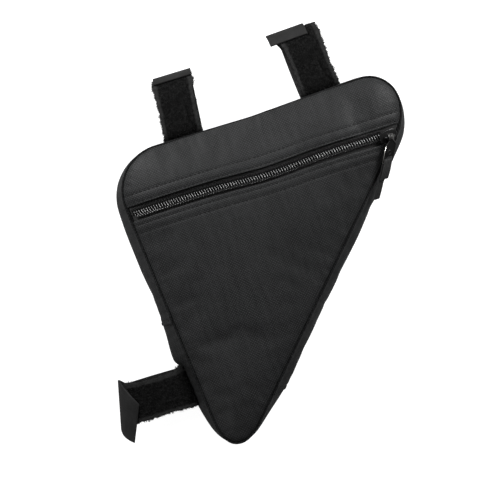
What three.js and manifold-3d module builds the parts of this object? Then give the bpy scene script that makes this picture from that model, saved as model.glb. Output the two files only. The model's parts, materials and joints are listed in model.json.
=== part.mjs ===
// Triangular bicycle frame bag, lying on its back panel with its zip face up.
// Millimetres. +X runs along the zip, +Y towards the edge that hangs under the top tube,
// +Z out of the zip face. The origin is on the flat of the back panel, where the bag rests.
import * as THREE from "three";
import { mergeVertices } from "three/addons/utils/BufferGeometryUtils.js";
import Module from "manifold-3d";

const wasm = await Module();
wasm.setup();

// Driving dimensions of the bag's outline, measured along its seam
const TOP_LENGTH = 186.6;
const APEX_DROP = 210.4;
const APEX_INSET = 18.4;
const FRONT_EDGE_DROP = 32.6;
const FRONT_CORNER_RISE = 2.5;
const TOP_SAG = 1;
const TOP_SAG_AT = 94;
const SEAT_CORNER_RADIUS = 30;
const FRONT_CORNER_RADIUS = 20;
const FRONT_BEND_RADIUS = 31;
const APEX_RADIUS = 15.4;
const SAG_RADIUS = 400;
const ORIGIN_FROM_SEAT_CORNER = 92.6;
const ORIGIN_BELOW_TOP = 94.2;

// Depths and fabric
const GUSSET_DEPTH = 36;
const BACK_CROWN = 5;
const FRONT_CROWN = 8;
const EDGE_FALL = 45;
const APEX_CROWN_SHARE = 0.55;
const FABRIC = 1.5;
const GAP = 0.3;

// Gusset joins, as distances down from the top edge
const SEAT_JOIN_DROP = 109;
const APEX_JOIN_DROP = 171;

// Zip
const ZIP_DROP = 37.5;
const WINDOW_ABOVE = 5.3;
const WINDOW_BELOW = 4.8;
const TAPE_WIDTH = 12;
const TAPE_THICKNESS = 0.8;
const COIL_WIDTH = 5.7;
const COIL_HEIGHT = 2.2;
const TOOTH_PITCH = 1.65;
const TOOTH_DEPTH = 0.5;
const COIL_END_GAP = 3;
const COIL_EASE = 0.1;
const COIL_END_SHARE = 0.15;

// Slider and pull
const SLIDER_FROM_SEAM = 7.8;
const SLIDER_LENGTH = 11.5;
const SLIDER_WIDTH = 8.6;
const SLIDER_PLATE = 1;
const FLANGE_WALL = 0.9;
const FLANGE_DEPTH = 1.5;
const POST_WIDTH = 1.4;
const POST_LENGTH = 2.4;
const UNDERPLATE_CUT = 3.2;
const UNDERPLATE_GAP = 1.4;
const BRIDGE_SPAN = 4.6;
const BRIDGE_LEG = 1.3;
const BRIDGE_WIDTH = 2;
const BRIDGE_BAR_RADIUS = 0.8;
const BRIDGE_RISE = 2.5;
const KNUCKLE_RADIUS = 1.9;
const KNUCKLE_BORE = 1.15;
const KNUCKLE_WIDTH = 3.4;
const PULL_SKEW_DEG = 24;
const PULL_PITCH_DEG = 18;
const TAB_LENGTH = 15.5;
const TAB_WIDTH = 7.6;
const TAB_THICKNESS = 0.9;
const TAB_NECK = 3.2;
const SLOT_WIDTH = 6.2;
const SLOT_LENGTH = 2.4;
const SLOT_END_WALL = 1.2;
const RIBBON_WIDTH = 5.6;
const RIBBON_THICKNESS = 0.8;
const RIBBON_FRONT_LEG = 12;
const RIBBON_REAR_LEG = 24;

// Hook-and-loop straps
const STRAP_WIDTH = 25;
const LOOP_TAPE = 2;
const HOOK_TAPE = 1.2;
const STRAP_BASE = 10;
const STRAP_BELLY = 13.5;
const LOOP_TUCK = 12;
const LAP_GAP = 0.4;
const REAR_REACH = 39.5;
const REAR_LAP = 3.5;
const REAR_DRIFT = 0.5;
const FRONT_REACH = 43.5;
const FRONT_LAP = 12;
const FRONT_DRIFT = 7;
const LOWER_REACH = 43;
const LOWER_LAP = 12;
const LOWER_DRIFT = 1;
const LOWER_SLIP = 13;
const LOWER_SKEW_DEG = 38;

// How much the gusset swells between its seams, by the way that it faces, as shares of its depth
const SWELL_EASE = 22;
const SWELL = [
  { facing: -185, share: 0.225 },
  { facing: -165, share: 0.18 },
  { facing: -120, share: 0.05 },
  { facing: -75, share: 0.03 },
  { facing: -43, share: 0.175 },
  { facing: -20, share: 0.09 },
  { facing: 0, share: 0.05 },
  { facing: 60, share: 0.03 },
  { facing: 90, share: 0.03 },
  { facing: 135, share: 0.08 },
  { facing: 175, share: 0.225 },
];

// Soft dimples in the front, as shares of the top length, the apex drop and the crown
const DIMPLES = [
  { across: 0.86, down: 0.09, depth: 0.16, spread: 0.07 },
  { across: 0.52, down: 0.07, depth: 0.1, spread: 0.1 },
  { across: 0.16, down: 0.1, depth: 0.12, spread: 0.07 },
  { across: 0.18, down: 0.62, depth: 0.1, spread: 0.1 },
  { across: 0.47, down: 0.42, depth: 0.08, spread: 0.12 },
];

// Each strap's seat on an edge of the outline, its way out and how its tapes lie: the hook tape
// laps over the end of the round, drifts sideways on its way there and slips further on the lap
const STRAPS = [
  { name: "strap_rear", from: 0, to: 1, along: 0.5375, lean: 5, reach: REAR_REACH, lap: REAR_LAP, drift: REAR_DRIFT, slip: 0, skew: 0 },
  { name: "strap_front", from: 1, to: 2, along: 0.522, lean: -2, reach: FRONT_REACH, lap: FRONT_LAP, drift: -FRONT_DRIFT, slip: 0, skew: 0 },
  {
    name: "strap_lower", from: 0, to: 4, along: 0.7153, lean: -6, reach: LOWER_REACH, lap: LOWER_LAP,
    drift: -LOWER_DRIFT, slip: LOWER_SLIP, skew: LOWER_SKEW_DEG,
  },
];

// Finishes
const finish = (color, roughness, metalness = 0) => new THREE.MeshStandardMaterial({ color, roughness, metalness });
const PANEL_FABRIC = finish(0x26272a, 0.85);
const GUSSET_FABRIC = finish(0x1e1f22, 0.85);
const ZIP_TAPE = finish(0x121214, 0.9);
const COIL_NYLON = finish(0x2e2e30, 0.45);
const SLIDER_METAL = finish(0x2a2a2c, 0.35, 0.8);
const PULL_WEBBING = finish(0x1a1a1c, 0.8);
const LOOP_PILE = finish(0x141415, 0.98);
const HOOK_BACK = finish(0x2b2b2d, 0.75);

// Values that follow from the driving dimensions
const backSeamZ = BACK_CROWN + FABRIC + GAP / 2;
const frontSeamZ = backSeamZ + GUSSET_DEPTH;
const middleZ = backSeamZ + GUSSET_DEPTH / 2;
const panelRimZ = frontSeamZ + GAP / 2;
const topY = ORIGIN_BELOW_TOP;
const seatX = -ORIGIN_FROM_SEAT_CORNER;
const zipY = topY - ZIP_DROP;
const radians = THREE.MathUtils.degToRad;

// Corners of the seam line before they are rounded
const corners = [
  { x: seatX, y: topY, radius: SEAT_CORNER_RADIUS },
  { x: seatX + TOP_SAG_AT, y: topY - TOP_SAG, radius: SAG_RADIUS },
  { x: seatX + TOP_LENGTH, y: topY + FRONT_CORNER_RISE, radius: FRONT_CORNER_RADIUS },
  { x: seatX + TOP_LENGTH, y: topY + FRONT_CORNER_RISE - FRONT_EDGE_DROP, radius: FRONT_BEND_RADIUS },
  { x: seatX + APEX_INSET, y: topY - APEX_DROP, radius: APEX_RADIUS },
].map(({ x, y, radius }) => ({ point: new THREE.Vector2(x, y), radius }));

// A smooth step from 0 to 1
const ease = (t) => THREE.MathUtils.smoothstep(t, 0, 1);

// Reads a table of rows by one of its columns, easing from row to row
function readTable(rows, column, value, at) {
  const next = rows.findIndex((row) => row[column] >= at);
  if (next <= 0) return rows[next === 0 ? 0 : rows.length - 1][value];
  const [low, high] = [rows[next - 1], rows[next]];
  return THREE.MathUtils.lerp(low[value], high[value], ease((at - low[column]) / (high[column] - low[column])));
}

// Rounds every corner with an arc; the path joins one arc to the next with a line
function seamPath() {
  const path = new THREE.Path();
  const bends = corners.map(({ point, radius }, i) => {
    const before = corners[(i + corners.length - 1) % corners.length].point.clone().sub(point).normalize();
    const after = corners[(i + 1) % corners.length].point.clone().sub(point).normalize();
    const half = Math.acos(THREE.MathUtils.clamp(before.dot(after), -1, 1)) / 2;
    const reach = radius / Math.tan(half);
    const centre = before.clone().add(after).normalize().multiplyScalar(radius / Math.sin(half)).add(point);
    const start = point.clone().addScaledVector(before, reach);
    const end = point.clone().addScaledVector(after, reach);
    return { start, end, centre, radius, clockwise: before.cross(after) > 0 };
  });
  for (const { start, end, centre, radius, clockwise } of bends) {
    const startAngle = Math.atan2(start.y - centre.y, start.x - centre.x);
    const endAngle = Math.atan2(end.y - centre.y, end.x - centre.x);
    path.absarc(centre.x, centre.y, radius, startAngle, endAngle, clockwise);
  }
  path.closePath();
  return path;
}

// Points round the seam, clockwise, with one on each height that is named
function seamPoints(heights) {
  const SIDE_STEPS = 5;
  const ARC_STEPS = 7;
  const points = seamPath().curves.flatMap((curve) => {
    const steps = curve.isEllipseCurve ? ARC_STEPS : SIDE_STEPS;
    return curve.getPoints(steps).slice(0, steps);
  });
  const crossed = [];
  points.forEach((point, i) => {
    const next = points[(i + 1) % points.length];
    crossed.push(point);
    heights
      .filter((height) => (point.y - height) * (next.y - height) < 0)
      .map((height) => (height - point.y) / (next.y - point.y))
      .sort((a, b) => a - b)
      .forEach((share) => crossed.push(point.clone().lerp(next, share)));
  });
  return crossed;
}

const seam = seamPoints([zipY, topY - SEAT_JOIN_DROP, topY - APEX_JOIN_DROP]);
const outward = seam.map((_, i) => {
  const along = seam[(i + 1) % seam.length].clone().sub(seam[(i + seam.length - 1) % seam.length]);
  return new THREE.Vector2(-along.y, along.x).normalize();
});

// How far the gusset would swell on a long edge that faces a direction
function fullSwell(direction) {
  let facing = THREE.MathUtils.radToDeg(Math.atan2(direction.y, direction.x));
  if (facing > SWELL[SWELL.length - 1].facing) facing -= 360;
  return GUSSET_DEPTH * readTable(SWELL, "facing", "share", facing);
}

// The swell at each seam point, eased along the seam as stiff cloth eases it
const swells = seam.map((point) => {
  const weights = seam.map((other, i) => {
    const beside = seam[(i + 1) % seam.length].distanceTo(seam[(i + seam.length - 1) % seam.length]);
    return beside * Math.exp(-point.distanceToSquared(other) / (SWELL_EASE * SWELL_EASE));
  });
  const total = weights.reduce((sum, weight) => sum + weight, 0);
  return outward.reduce((sum, direction, i) => sum + (weights[i] / total) * fullSwell(direction), 0);
});

// Distance from a point to the seam line
function seamDistance(point) {
  return Math.min(...seam.map((start, i) => {
    const edge = seam[(i + 1) % seam.length].clone().sub(start);
    const share = THREE.MathUtils.clamp(point.clone().sub(start).dot(edge) / edge.lengthSq(), 0, 1);
    return point.distanceTo(edge.multiplyScalar(share).add(start));
  }));
}

// The cushion profile that both panels rise with, 0 at the seam and 1 well inside
function cushion(point) {
  const inside = Math.min(seamDistance(point) / EDGE_FALL, 1);
  return Math.pow(Math.max(1 - Math.pow(1 - inside, 2.5), 0), 0.8);
}

// Height of the front over its seam, highest along the zip
function frontHeight(point) {
  const below = Math.max(zipY - point.y, 0) / (APEX_DROP - ZIP_DROP);
  const dimples = DIMPLES.reduce((sum, { across, down, depth, spread }) => {
    const centre = new THREE.Vector2(seatX + across * TOP_LENGTH, topY - down * APEX_DROP);
    return sum + depth * Math.exp(-Math.pow(point.distanceTo(centre) / (spread * TOP_LENGTH), 2));
  }, 0);
  return FRONT_CROWN * cushion(point) * (1 - (1 - APEX_CROWN_SHARE) * below - dimples);
}

// Depth of the back below its seam, pressed flat where the bag rests on it
function backDepth(point) {
  const PRESSED_FROM = 0.8;
  return BACK_CROWN * Math.min(cushion(point) / PRESSED_FROM, 1);
}

// A closed skin that is gathered from points and faces, and turned to face out
class Skin {
  positions = [];
  faces = [];

  add(point) {
    this.positions.push(point.x, point.y, point.z);
    return this.positions.length / 3 - 1;
  }

  quad(a, b, c, d) {
    this.faces.push(a, b, c, a, c, d);
  }

  // Joins two rows of points, each given as a list of numbers that add returned
  bridge(rowA, rowB, wrap = false) {
    const last = wrap ? rowA.length : rowA.length - 1;
    for (let i = 0; i < last; i++) {
      const next = (i + 1) % rowA.length;
      this.quad(rowA[i], rowA[next], rowB[next], rowB[i]);
    }
  }

  geometry() {
    const geometry = new THREE.BufferGeometry();
    geometry.setAttribute("position", new THREE.Float32BufferAttribute(this.positions, 3));
    geometry.setIndex(volume(this.positions, this.faces) < 0 ? this.faces.toReversed() : this.faces);
    return geometry;
  }
}

function volume(positions, faces) {
  const point = (i) => new THREE.Vector3().fromArray(positions, 3 * i);
  let sum = 0;
  for (let i = 0; i < faces.length; i += 3) {
    sum += point(faces[i]).dot(point(faces[i + 1]).cross(point(faces[i + 2])));
  }
  return sum / 6;
}

// A sheet with two faces, given as grids of points that match row by row
function sheetBetween(outer, inner) {
  const skin = new Skin();
  const outside = outer.map((row) => row.map((point) => skin.add(point)));
  const inside = inner.map((row) => row.map((point) => skin.add(point)));
  const lastRow = outside.length - 1;
  const lastColumn = outside[0].length - 1;
  for (let i = 0; i < lastRow; i++) {
    skin.bridge(outside[i], outside[i + 1]);
    skin.bridge(inside[i + 1], inside[i]);
  }
  skin.bridge(inside[0], outside[0]);
  skin.bridge(outside[lastRow], inside[lastRow]);
  const column = (grid, j) => grid.map((row) => row[j]);
  skin.bridge(column(outside, 0), column(inside, 0));
  skin.bridge(column(inside, lastColumn), column(outside, lastColumn));
  return skin.geometry();
}

// Solids go through these two to be cut and joined
function toSolid(geometry) {
  const bare = geometry.clone();
  bare.deleteAttribute("normal");
  bare.deleteAttribute("uv");
  const merged = mergeVertices(bare, 1e-4);
  const vertProperties = new Float32Array(merged.attributes.position.array);
  const triVerts = new Uint32Array(merged.index.array);
  return new wasm.Manifold(new wasm.Mesh({ numProp: 3, vertProperties, triVerts }));
}

function toGeometry(solid) {
  const { vertProperties, triVerts } = solid.getMesh();
  const geometry = new THREE.BufferGeometry();
  geometry.setAttribute("position", new THREE.BufferAttribute(vertProperties, 3));
  geometry.setIndex(new THREE.BufferAttribute(triVerts, 1));
  return geometry;
}

// A block between two corners, as a solid
function block(low, high) {
  const [width, depth, height] = high.map((value, i) => value - low[i]);
  const box = new THREE.BoxGeometry(width, depth, height);
  return toSolid(box.translate(low[0] + width / 2, low[1] + depth / 2, low[2] + height / 2));
}

// The rings of a panel lie on scaled copies of the seam round the middle of the zip
const RING_SHARES = [1, 0.97, 0.91, 0.82, 0.68, 0.48, 0.24];
const zipEnds = seam.filter((point) => Math.abs(point.y - zipY) < 1e-6).map((point) => point.x).sort((a, b) => a - b);
const panelCentre = new THREE.Vector2((zipEnds[0] + zipEnds[1]) / 2, zipY);

// A panel of even wall over an outline, whose heights come from a function of place
function panelShell(outline, shares, heightAt, wall) {
  const skin = new Skin();
  const place = (point, lift) => skin.add(new THREE.Vector3(point.x, point.y, heightAt(point) + lift));
  const rings = shares.map((share) => outline.map((point) => panelCentre.clone().lerp(point, share)));
  const outer = rings.map((ring) => ring.map((point) => place(point, wall)));
  const inner = rings.map((ring) => ring.map((point) => place(point, 0)));
  for (let i = 0; i + 1 < rings.length; i++) {
    skin.bridge(outer[i], outer[i + 1], true);
    skin.bridge(inner[i + 1], inner[i], true);
  }
  skin.bridge(inner[0], outer[0], true);
  const [top, bottom] = [place(panelCentre, wall), place(panelCentre, 0)];
  const last = rings.length - 1;
  outline.forEach((_, j) => {
    const next = (j + 1) % outline.length;
    skin.faces.push(outer[last][j], outer[last][next], top, inner[last][next], inner[last][j], bottom);
  });
  return skin.geometry();
}

const FAR = 2 * (TOP_LENGTH + APEX_DROP);
const frontShell = (lift, wall) =>
  toSolid(panelShell(seam, RING_SHARES, (point) => panelRimZ + frontHeight(point) + lift, wall));
const bandAcross = (lowY, highY) => block([-FAR, lowY, -FAR], [FAR, highY, FAR]);

// Height of the zip's seat along its line, exact on the panel's own facets
const ridge = zipEnds.flatMap((endX) => RING_SHARES.map((share) => THREE.MathUtils.lerp(panelCentre.x, endX, share)))
  .concat(panelCentre.x)
  .sort((a, b) => a - b)
  .map((x) => ({ x, height: panelRimZ + frontHeight(new THREE.Vector2(x, zipY)) }));

function ridgeHeight(x) {
  const next = THREE.MathUtils.clamp(ridge.findIndex((row) => row.x >= x), 1, ridge.length - 1);
  const [low, high] = [ridge[next - 1], ridge[next]];
  return THREE.MathUtils.mapLinear(x, low.x, high.x, low.height, high.height);
}

// The coil stands on the highest of the seat's middle and the tapes beside it
function coilFoot(x) {
  const beside = [-COIL_WIDTH / 2, COIL_WIDTH / 2].map((across) => new THREE.Vector2(x, zipY + across));
  return Math.max(ridgeHeight(x), ...beside.map((point) => panelRimZ + frontHeight(point) + COIL_EASE));
}

// Panels
function frontPanels() {
  const shell = frontShell(0, FABRIC);
  return {
    upper: toGeometry(shell.intersect(bandAcross(zipY + WINDOW_ABOVE, FAR))),
    lower: toGeometry(shell.intersect(bandAcross(-FAR, zipY - WINDOW_BELOW))),
  };
}

function backPanel() {
  return panelShell(seam, RING_SHARES, (point) => backSeamZ - GAP / 2 - FABRIC - backDepth(point), FABRIC);
}

// The gusset strip between two joins, walked clockwise round the seam
function gussetStrip(startIndex, endIndex) {
  const DEPTH_STEPS = 4;
  const count = (endIndex - startIndex + seam.length) % seam.length;
  const walk = Array.from({ length: count + 1 }, (_, i) => (startIndex + i) % seam.length);
  const rim = walk.map((i) => seam[i].clone());
  const ends = [[0, 1], [count, count - 1]];
  for (const [end, beside] of ends) {
    rim[end].addScaledVector(rim[beside].clone().sub(rim[end]).normalize(), GAP / 2);
  }
  const gridAt = (inset) => walk.map((i, row) => {
    const bulge = swells[i];
    return Array.from({ length: DEPTH_STEPS + 1 }, (_, j) => {
      const across = (2 * j) / DEPTH_STEPS - 1;
      const point = rim[row].clone().addScaledVector(outward[i], bulge * (1 - across * across) - inset);
      const z = middleZ + (across * (GUSSET_DEPTH - GAP)) / 2;
      return new THREE.Vector3(point.x, point.y, z);
    });
  });
  return sheetBetween(gridAt(0), gridAt(FABRIC));
}

// The seam point at a drop below the top edge, on one side of the bag
function joinIndex(drop, side) {
  const candidates = seam.map((point, i) => ({ i, miss: Math.abs(point.y - (topY - drop)), out: outward[i].x * side }));
  return candidates.filter(({ out }) => out > 0).sort((a, b) => a.miss - b.miss)[0].i;
}

// The zip tapes lie just under the panels and are stitched to them along the window
function zipTapes() {
  const inset = seam.map((point, i) => point.clone().addScaledVector(outward[i], -FABRIC - GAP));
  const inside = toSolid(panelShell(inset, [1], () => middleZ, FAR));
  const shell = frontShell(-GAP - TAPE_THICKNESS, TAPE_THICKNESS).intersect(inside);
  const postX = sliderX + SLIDER_LENGTH / 2 - UNDERPLATE_CUT - POST_LENGTH / 2;
  const halfLength = POST_LENGTH / 2 + 3 * GAP;
  const halfWidth = POST_WIDTH / 2 + 2 * GAP;
  const slit = block([postX - halfLength, zipY - halfWidth, -FAR], [postX + halfLength, zipY + halfWidth, FAR]);
  return {
    upper: toGeometry(shell.intersect(bandAcross(zipY + GAP / 2, zipY + TAPE_WIDTH)).subtract(slit)),
    lower: toGeometry(shell.intersect(bandAcross(zipY - TAPE_WIDTH, zipY - GAP / 2)).subtract(slit)),
  };
}

// The closed coil: a low bar whose crown rises and falls with every tooth
function zipCoil() {
  const startX = zipEnds[0] + COIL_END_GAP;
  const endX = sliderX - SLIDER_LENGTH * COIL_END_SHARE;
  const teeth = Math.round((endX - startX) / TOOTH_PITCH);
  const stations = Array.from({ length: 2 * teeth + 1 }, (_, i) => ({
    x: startX + ((endX - startX) * i) / (2 * teeth),
    crown: i % 2 ? COIL_HEIGHT : COIL_HEIGHT - TOOTH_DEPTH,
  }));
  const half = COIL_WIDTH / 2;
  const crownHalf = 0.6 * half;
  const skin = new Skin();
  const rings = stations.map(({ x, crown }) => {
    const foot = coilFoot(x);
    return [[-half, 0], [half, 0], [crownHalf, crown], [-crownHalf, crown]]
      .map(([across, up]) => skin.add(new THREE.Vector3(x, zipY + across, foot + up)));
  });
  for (let i = 0; i + 1 < rings.length; i++) skin.bridge(rings[i], rings[i + 1], true);
  skin.quad(...rings[0].toReversed());
  skin.quad(...rings[rings.length - 1]);
  return skin.geometry();
}

// The slider's own frame: x along the zip, z up from the coil's foot
const sliderX = zipEnds[1] - SLIDER_FROM_SEAM;
const noseHeight = ridgeHeight(sliderX + SLIDER_LENGTH / 2);
const tailHeight = ridgeHeight(sliderX - SLIDER_LENGTH / 2);
const sliderTilt = Math.atan2(tailHeight - noseHeight, SLIDER_LENGTH);
const [lowSide, highSide] = [-SLIDER_WIDTH / 2, SLIDER_WIDTH / 2]
  .map((across) => frontHeight(new THREE.Vector2(sliderX, zipY + across)));
const sliderRoll = Math.atan2(highSide - lowSide, SLIDER_WIDTH);
const plateZ = COIL_HEIGHT + 3 * GAP;
const hingeZ = plateZ + SLIDER_PLATE + BRIDGE_RISE;

function sliderFrame() {
  const group = new THREE.Group();
  group.position.set(sliderX, zipY, Math.max((noseHeight + tailHeight) / 2, ridgeHeight(sliderX)));
  group.rotation.set(sliderRoll, sliderTilt, 0, "YXZ");
  return group;
}

// A cylinder along X between two ends
function barAlongX(fromX, toX, radius, z, sides) {
  const bar = new THREE.CylinderGeometry(radius, radius, toX - fromX, sides);
  return toSolid(bar.rotateZ(Math.PI / 2).translate((fromX + toX) / 2, 0, z));
}

function zipSlider() {
  const halfLength = SLIDER_LENGTH / 2;
  const halfWidth = SLIDER_WIDTH / 2;
  const waist = halfWidth - 1.1;
  const plan = new THREE.Shape()
    .moveTo(-halfLength, -waist)
    .lineTo(0, -halfWidth)
    .lineTo(halfLength - 2, -halfWidth)
    .quadraticCurveTo(halfLength, -halfWidth, halfLength, 0)
    .quadraticCurveTo(halfLength, halfWidth, halfLength - 2, halfWidth)
    .lineTo(0, halfWidth)
    .lineTo(-halfLength, waist)
    .closePath();
  const plate = new THREE.ExtrudeGeometry(plan, { depth: SLIDER_PLATE, bevelEnabled: false, curveSegments: 4 });
  const floorZ = -TAPE_THICKNESS - UNDERPLATE_GAP;
  const top = toSolid(plate.clone().translate(0, 0, plateZ));
  const underEnd = halfLength - UNDERPLATE_CUT;
  const bottom = toSolid(plate.clone().translate(0, 0, floorZ - SLIDER_PLATE))
    .intersect(block([-FAR, -FAR, -FAR], [underEnd, FAR, FAR]));
  const postX = underEnd - POST_LENGTH / 2;
  const post = block(
    [postX - POST_LENGTH / 2, -POST_WIDTH / 2, floorZ - SLIDER_PLATE / 2],
    [postX + POST_LENGTH / 2 - 0.2, POST_WIDTH / 2, plateZ + SLIDER_PLATE / 2],
  );
  const flange = (side) => block(
    [0, side > 0 ? halfWidth - FLANGE_WALL : -halfWidth, plateZ - FLANGE_DEPTH],
    [halfLength - 2, side > 0 ? halfWidth : -halfWidth + FLANGE_WALL, plateZ + SLIDER_PLATE / 2],
  );
  const halfSpan = BRIDGE_SPAN / 2;
  const bar = barAlongX(-halfSpan - BRIDGE_LEG, halfSpan + BRIDGE_LEG, BRIDGE_BAR_RADIUS, hingeZ, 12);
  const leg = (fromX) => block(
    [fromX, -BRIDGE_WIDTH / 2, plateZ + SLIDER_PLATE / 2],
    [fromX + BRIDGE_LEG, BRIDGE_WIDTH / 2, hingeZ + BRIDGE_BAR_RADIUS],
  );
  const parts = [bottom, post, flange(1), flange(-1), bar, leg(halfSpan), leg(-halfSpan - BRIDGE_LEG)];
  return toGeometry(parts.reduce((solid, part) => solid.add(part), top));
}

// The pull's own frame: x along the bridge bar, y from the bar towards the pull's free end,
// pitched down from level, so that the pull droops over the seam
function pullFrame() {
  const group = new THREE.Group();
  group.position.z = hingeZ;
  group.rotation.set(sliderRoll - radians(PULL_PITCH_DEG), 0, Math.PI, "ZYX");
  return group;
}

// A point of the pull's plan, slid sideways by its skew past the neck
const skewed = (x, y) => new THREE.Vector2(x + Math.max(y - TAB_NECK, 0) * Math.tan(radians(PULL_SKEW_DEG)), y);

function pullTab() {
  const half = TAB_WIDTH / 2;
  const neck = KNUCKLE_WIDTH / 2;
  const rim = [[-neck, 0], [neck, 0], [neck, TAB_NECK], [half, TAB_NECK + 1.6], [half, TAB_LENGTH - 1],
    [half - 1, TAB_LENGTH], [1 - half, TAB_LENGTH], [-half, TAB_LENGTH - 1], [-half, TAB_NECK + 1.6], [-neck, TAB_NECK]];
  const plan = new THREE.Shape(rim.map(([x, y]) => skewed(x, y)));
  const slotEnd = TAB_LENGTH - SLOT_END_WALL;
  const slotRim = [[-1, -1], [1, -1], [1, 1], [-1, 1]];
  const slot = slotRim.map(([x, y]) => skewed((x * SLOT_WIDTH) / 2, slotEnd - SLOT_LENGTH / 2 + (y * SLOT_LENGTH) / 2));
  plan.holes.push(new THREE.Path(slot));
  const sheet = new THREE.ExtrudeGeometry(plan, { depth: TAB_THICKNESS, bevelEnabled: false });
  const knuckle = barAlongX(-neck, neck, KNUCKLE_RADIUS, 0, 16);
  const bore = barAlongX(-TAB_WIDTH, TAB_WIDTH, KNUCKLE_BORE, 0, 16);
  return toGeometry(toSolid(sheet.translate(0, 0, -TAB_THICKNESS / 2)).add(knuckle).subtract(bore));
}

// The ribbon goes through the slot and hangs in two legs, the rear one longer
function pullRibbon() {
  const bend = TAB_THICKNESS / 2 + GAP + RIBBON_THICKNESS / 2;
  const slotMiddle = TAB_LENGTH - SLOT_END_WALL - SLOT_LENGTH / 2;
  const droop = 0.12;
  const legEnd = (length) => slotMiddle + length;
  const route = [
    { y: legEnd(RIBBON_FRONT_LEG), z: bend - RIBBON_FRONT_LEG * droop * 0.6 },
    { y: legEnd(RIBBON_FRONT_LEG * 0.55), z: bend * 1.1 },
    { y: legEnd(RIBBON_FRONT_LEG * 0.25), z: bend },
    { y: slotMiddle + 0.3, z: bend * 0.75 },
    { y: slotMiddle - 0.1, z: 0 },
    { y: slotMiddle + 0.3, z: -bend * 0.75 },
    { y: legEnd(RIBBON_FRONT_LEG * 0.25), z: -bend },
    { y: legEnd(RIBBON_REAR_LEG * 0.5), z: -bend * 1.25 },
    { y: legEnd(RIBBON_REAR_LEG * 0.8), z: -bend * 1.7 },
    { y: legEnd(RIBBON_REAR_LEG), z: -bend * 2.4 },
  ];
  const curve = new THREE.CatmullRomCurve3(route.map(({ y, z }) => new THREE.Vector3(0, y, z)), false, "centripetal");
  const ROUTE_STEPS = 26;
  const rows = [-1, 1].map((side) => Array.from({ length: ROUTE_STEPS + 1 }, (_, i) => {
    const point = curve.getPointAt(i / ROUTE_STEPS);
    const tangent = curve.getTangentAt(i / ROUTE_STEPS);
    const normal = new THREE.Vector3(0, -tangent.z, tangent.y).multiplyScalar((side * RIBBON_THICKNESS) / 2);
    const centre = point.add(normal);
    return [-1, 1].map((edge) => {
      const place = skewed((edge * RIBBON_WIDTH) / 2, centre.y);
      return new THREE.Vector3(place.x, place.y, centre.z);
    });
  }));
  return sheetBetween(rows[0], rows[1]);
}

// The most that the gusset swells at the few seam points nearest to a place
function swellBeside(place) {
  const nearest = seam.map((point, i) => ({ i, distance: point.distanceTo(place) }));
  return Math.max(...nearest.sort((a, b) => a.distance - b.distance).slice(0, 4).map(({ i }) => swells[i]));
}

// The round that a strap makes, seen along the tube that it would hold: out from the
// gusset and up through its depth
function strapRound({ reach }, bulge) {
  const seat = (across) => GAP + LOOP_TAPE / 2 - bulge * Math.pow(across / (GUSSET_DEPTH / 2), 2);
  const half = [
    { out: seat(STRAP_BASE / 2), up: STRAP_BASE / 2 },
    { out: seat(STRAP_BASE) + 0.2, up: STRAP_BASE },
    { out: reach * 0.1, up: STRAP_BELLY * 0.96 },
    { out: reach * 0.3, up: STRAP_BELLY },
    { out: reach * 0.58, up: STRAP_BELLY * 0.95 },
    { out: reach * 0.8, up: STRAP_BELLY * 0.74 },
    { out: reach * 0.94, up: STRAP_BELLY * 0.42 },
  ];
  const round = [{ out: seat(0), up: 0 }, ...half, { out: reach, up: 0 }];
  const mirrored = half.toReversed().map(({ out, up }) => ({ out, up: -up }));
  const points = [...round, ...mirrored].map(({ out, up }) => new THREE.Vector3(out, up, 0));
  const curve = new THREE.CatmullRomCurve3(points, true, "centripetal");
  curve.arcLengthDivisions = 400;
  return curve;
}

// One tape of a strap, from one length along the round to another
function strapTape(strap, { from, to, thickness, liftAt, shiftAt, skewAt }) {
  const edge = corners[strap.to].point.clone().sub(corners[strap.from].point);
  const flip = strap.to > strap.from + 1 ? -1 : 1;
  const sideways = edge.clone().normalize();
  const out = new THREE.Vector2(-sideways.y * flip, sideways.x * flip);
  const foot = corners[strap.from].point.clone().addScaledVector(edge, strap.along);
  const bulge = swellBeside(foot);
  const seat = foot.addScaledVector(out, bulge);
  const curve = strapRound(strap, bulge);
  const total = curve.getLength();
  const [tapeSteps, widthSteps] = skewAt(1) ? [34, 6] : [24, 1];
  const lean = Math.tan(radians(strap.lean));
  const faceAt = (side) => Array.from({ length: tapeSteps + 1 }, (_, i) => {
    const share = i / tapeSteps;
    const skew = radians(skewAt(share));
    return Array.from({ length: widthSteps + 1 }, (_, j) => {
      const across = STRAP_WIDTH * (j / widthSteps - 0.5);
      const along = THREE.MathUtils.lerp(from, to, share) + across * Math.sin(skew);
      const at = THREE.MathUtils.euclideanModulo(along / total, 1);
      const point = curve.getPointAt(at);
      const tangent = curve.getTangentAt(at);
      const lift = liftAt(share) + (side * thickness) / 2;
      const reach = point.x - tangent.y * lift;
      const depth = point.y + tangent.x * lift;
      const slide = across * Math.cos(skew) + shiftAt(share) + reach * lean;
      const place = seat.clone().addScaledVector(out, reach).addScaledVector(sideways, slide);
      return new THREE.Vector3(place.x, place.y, middleZ + depth);
    });
  });
  return sheetBetween(faceAt(1), faceAt(-1));
}

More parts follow.
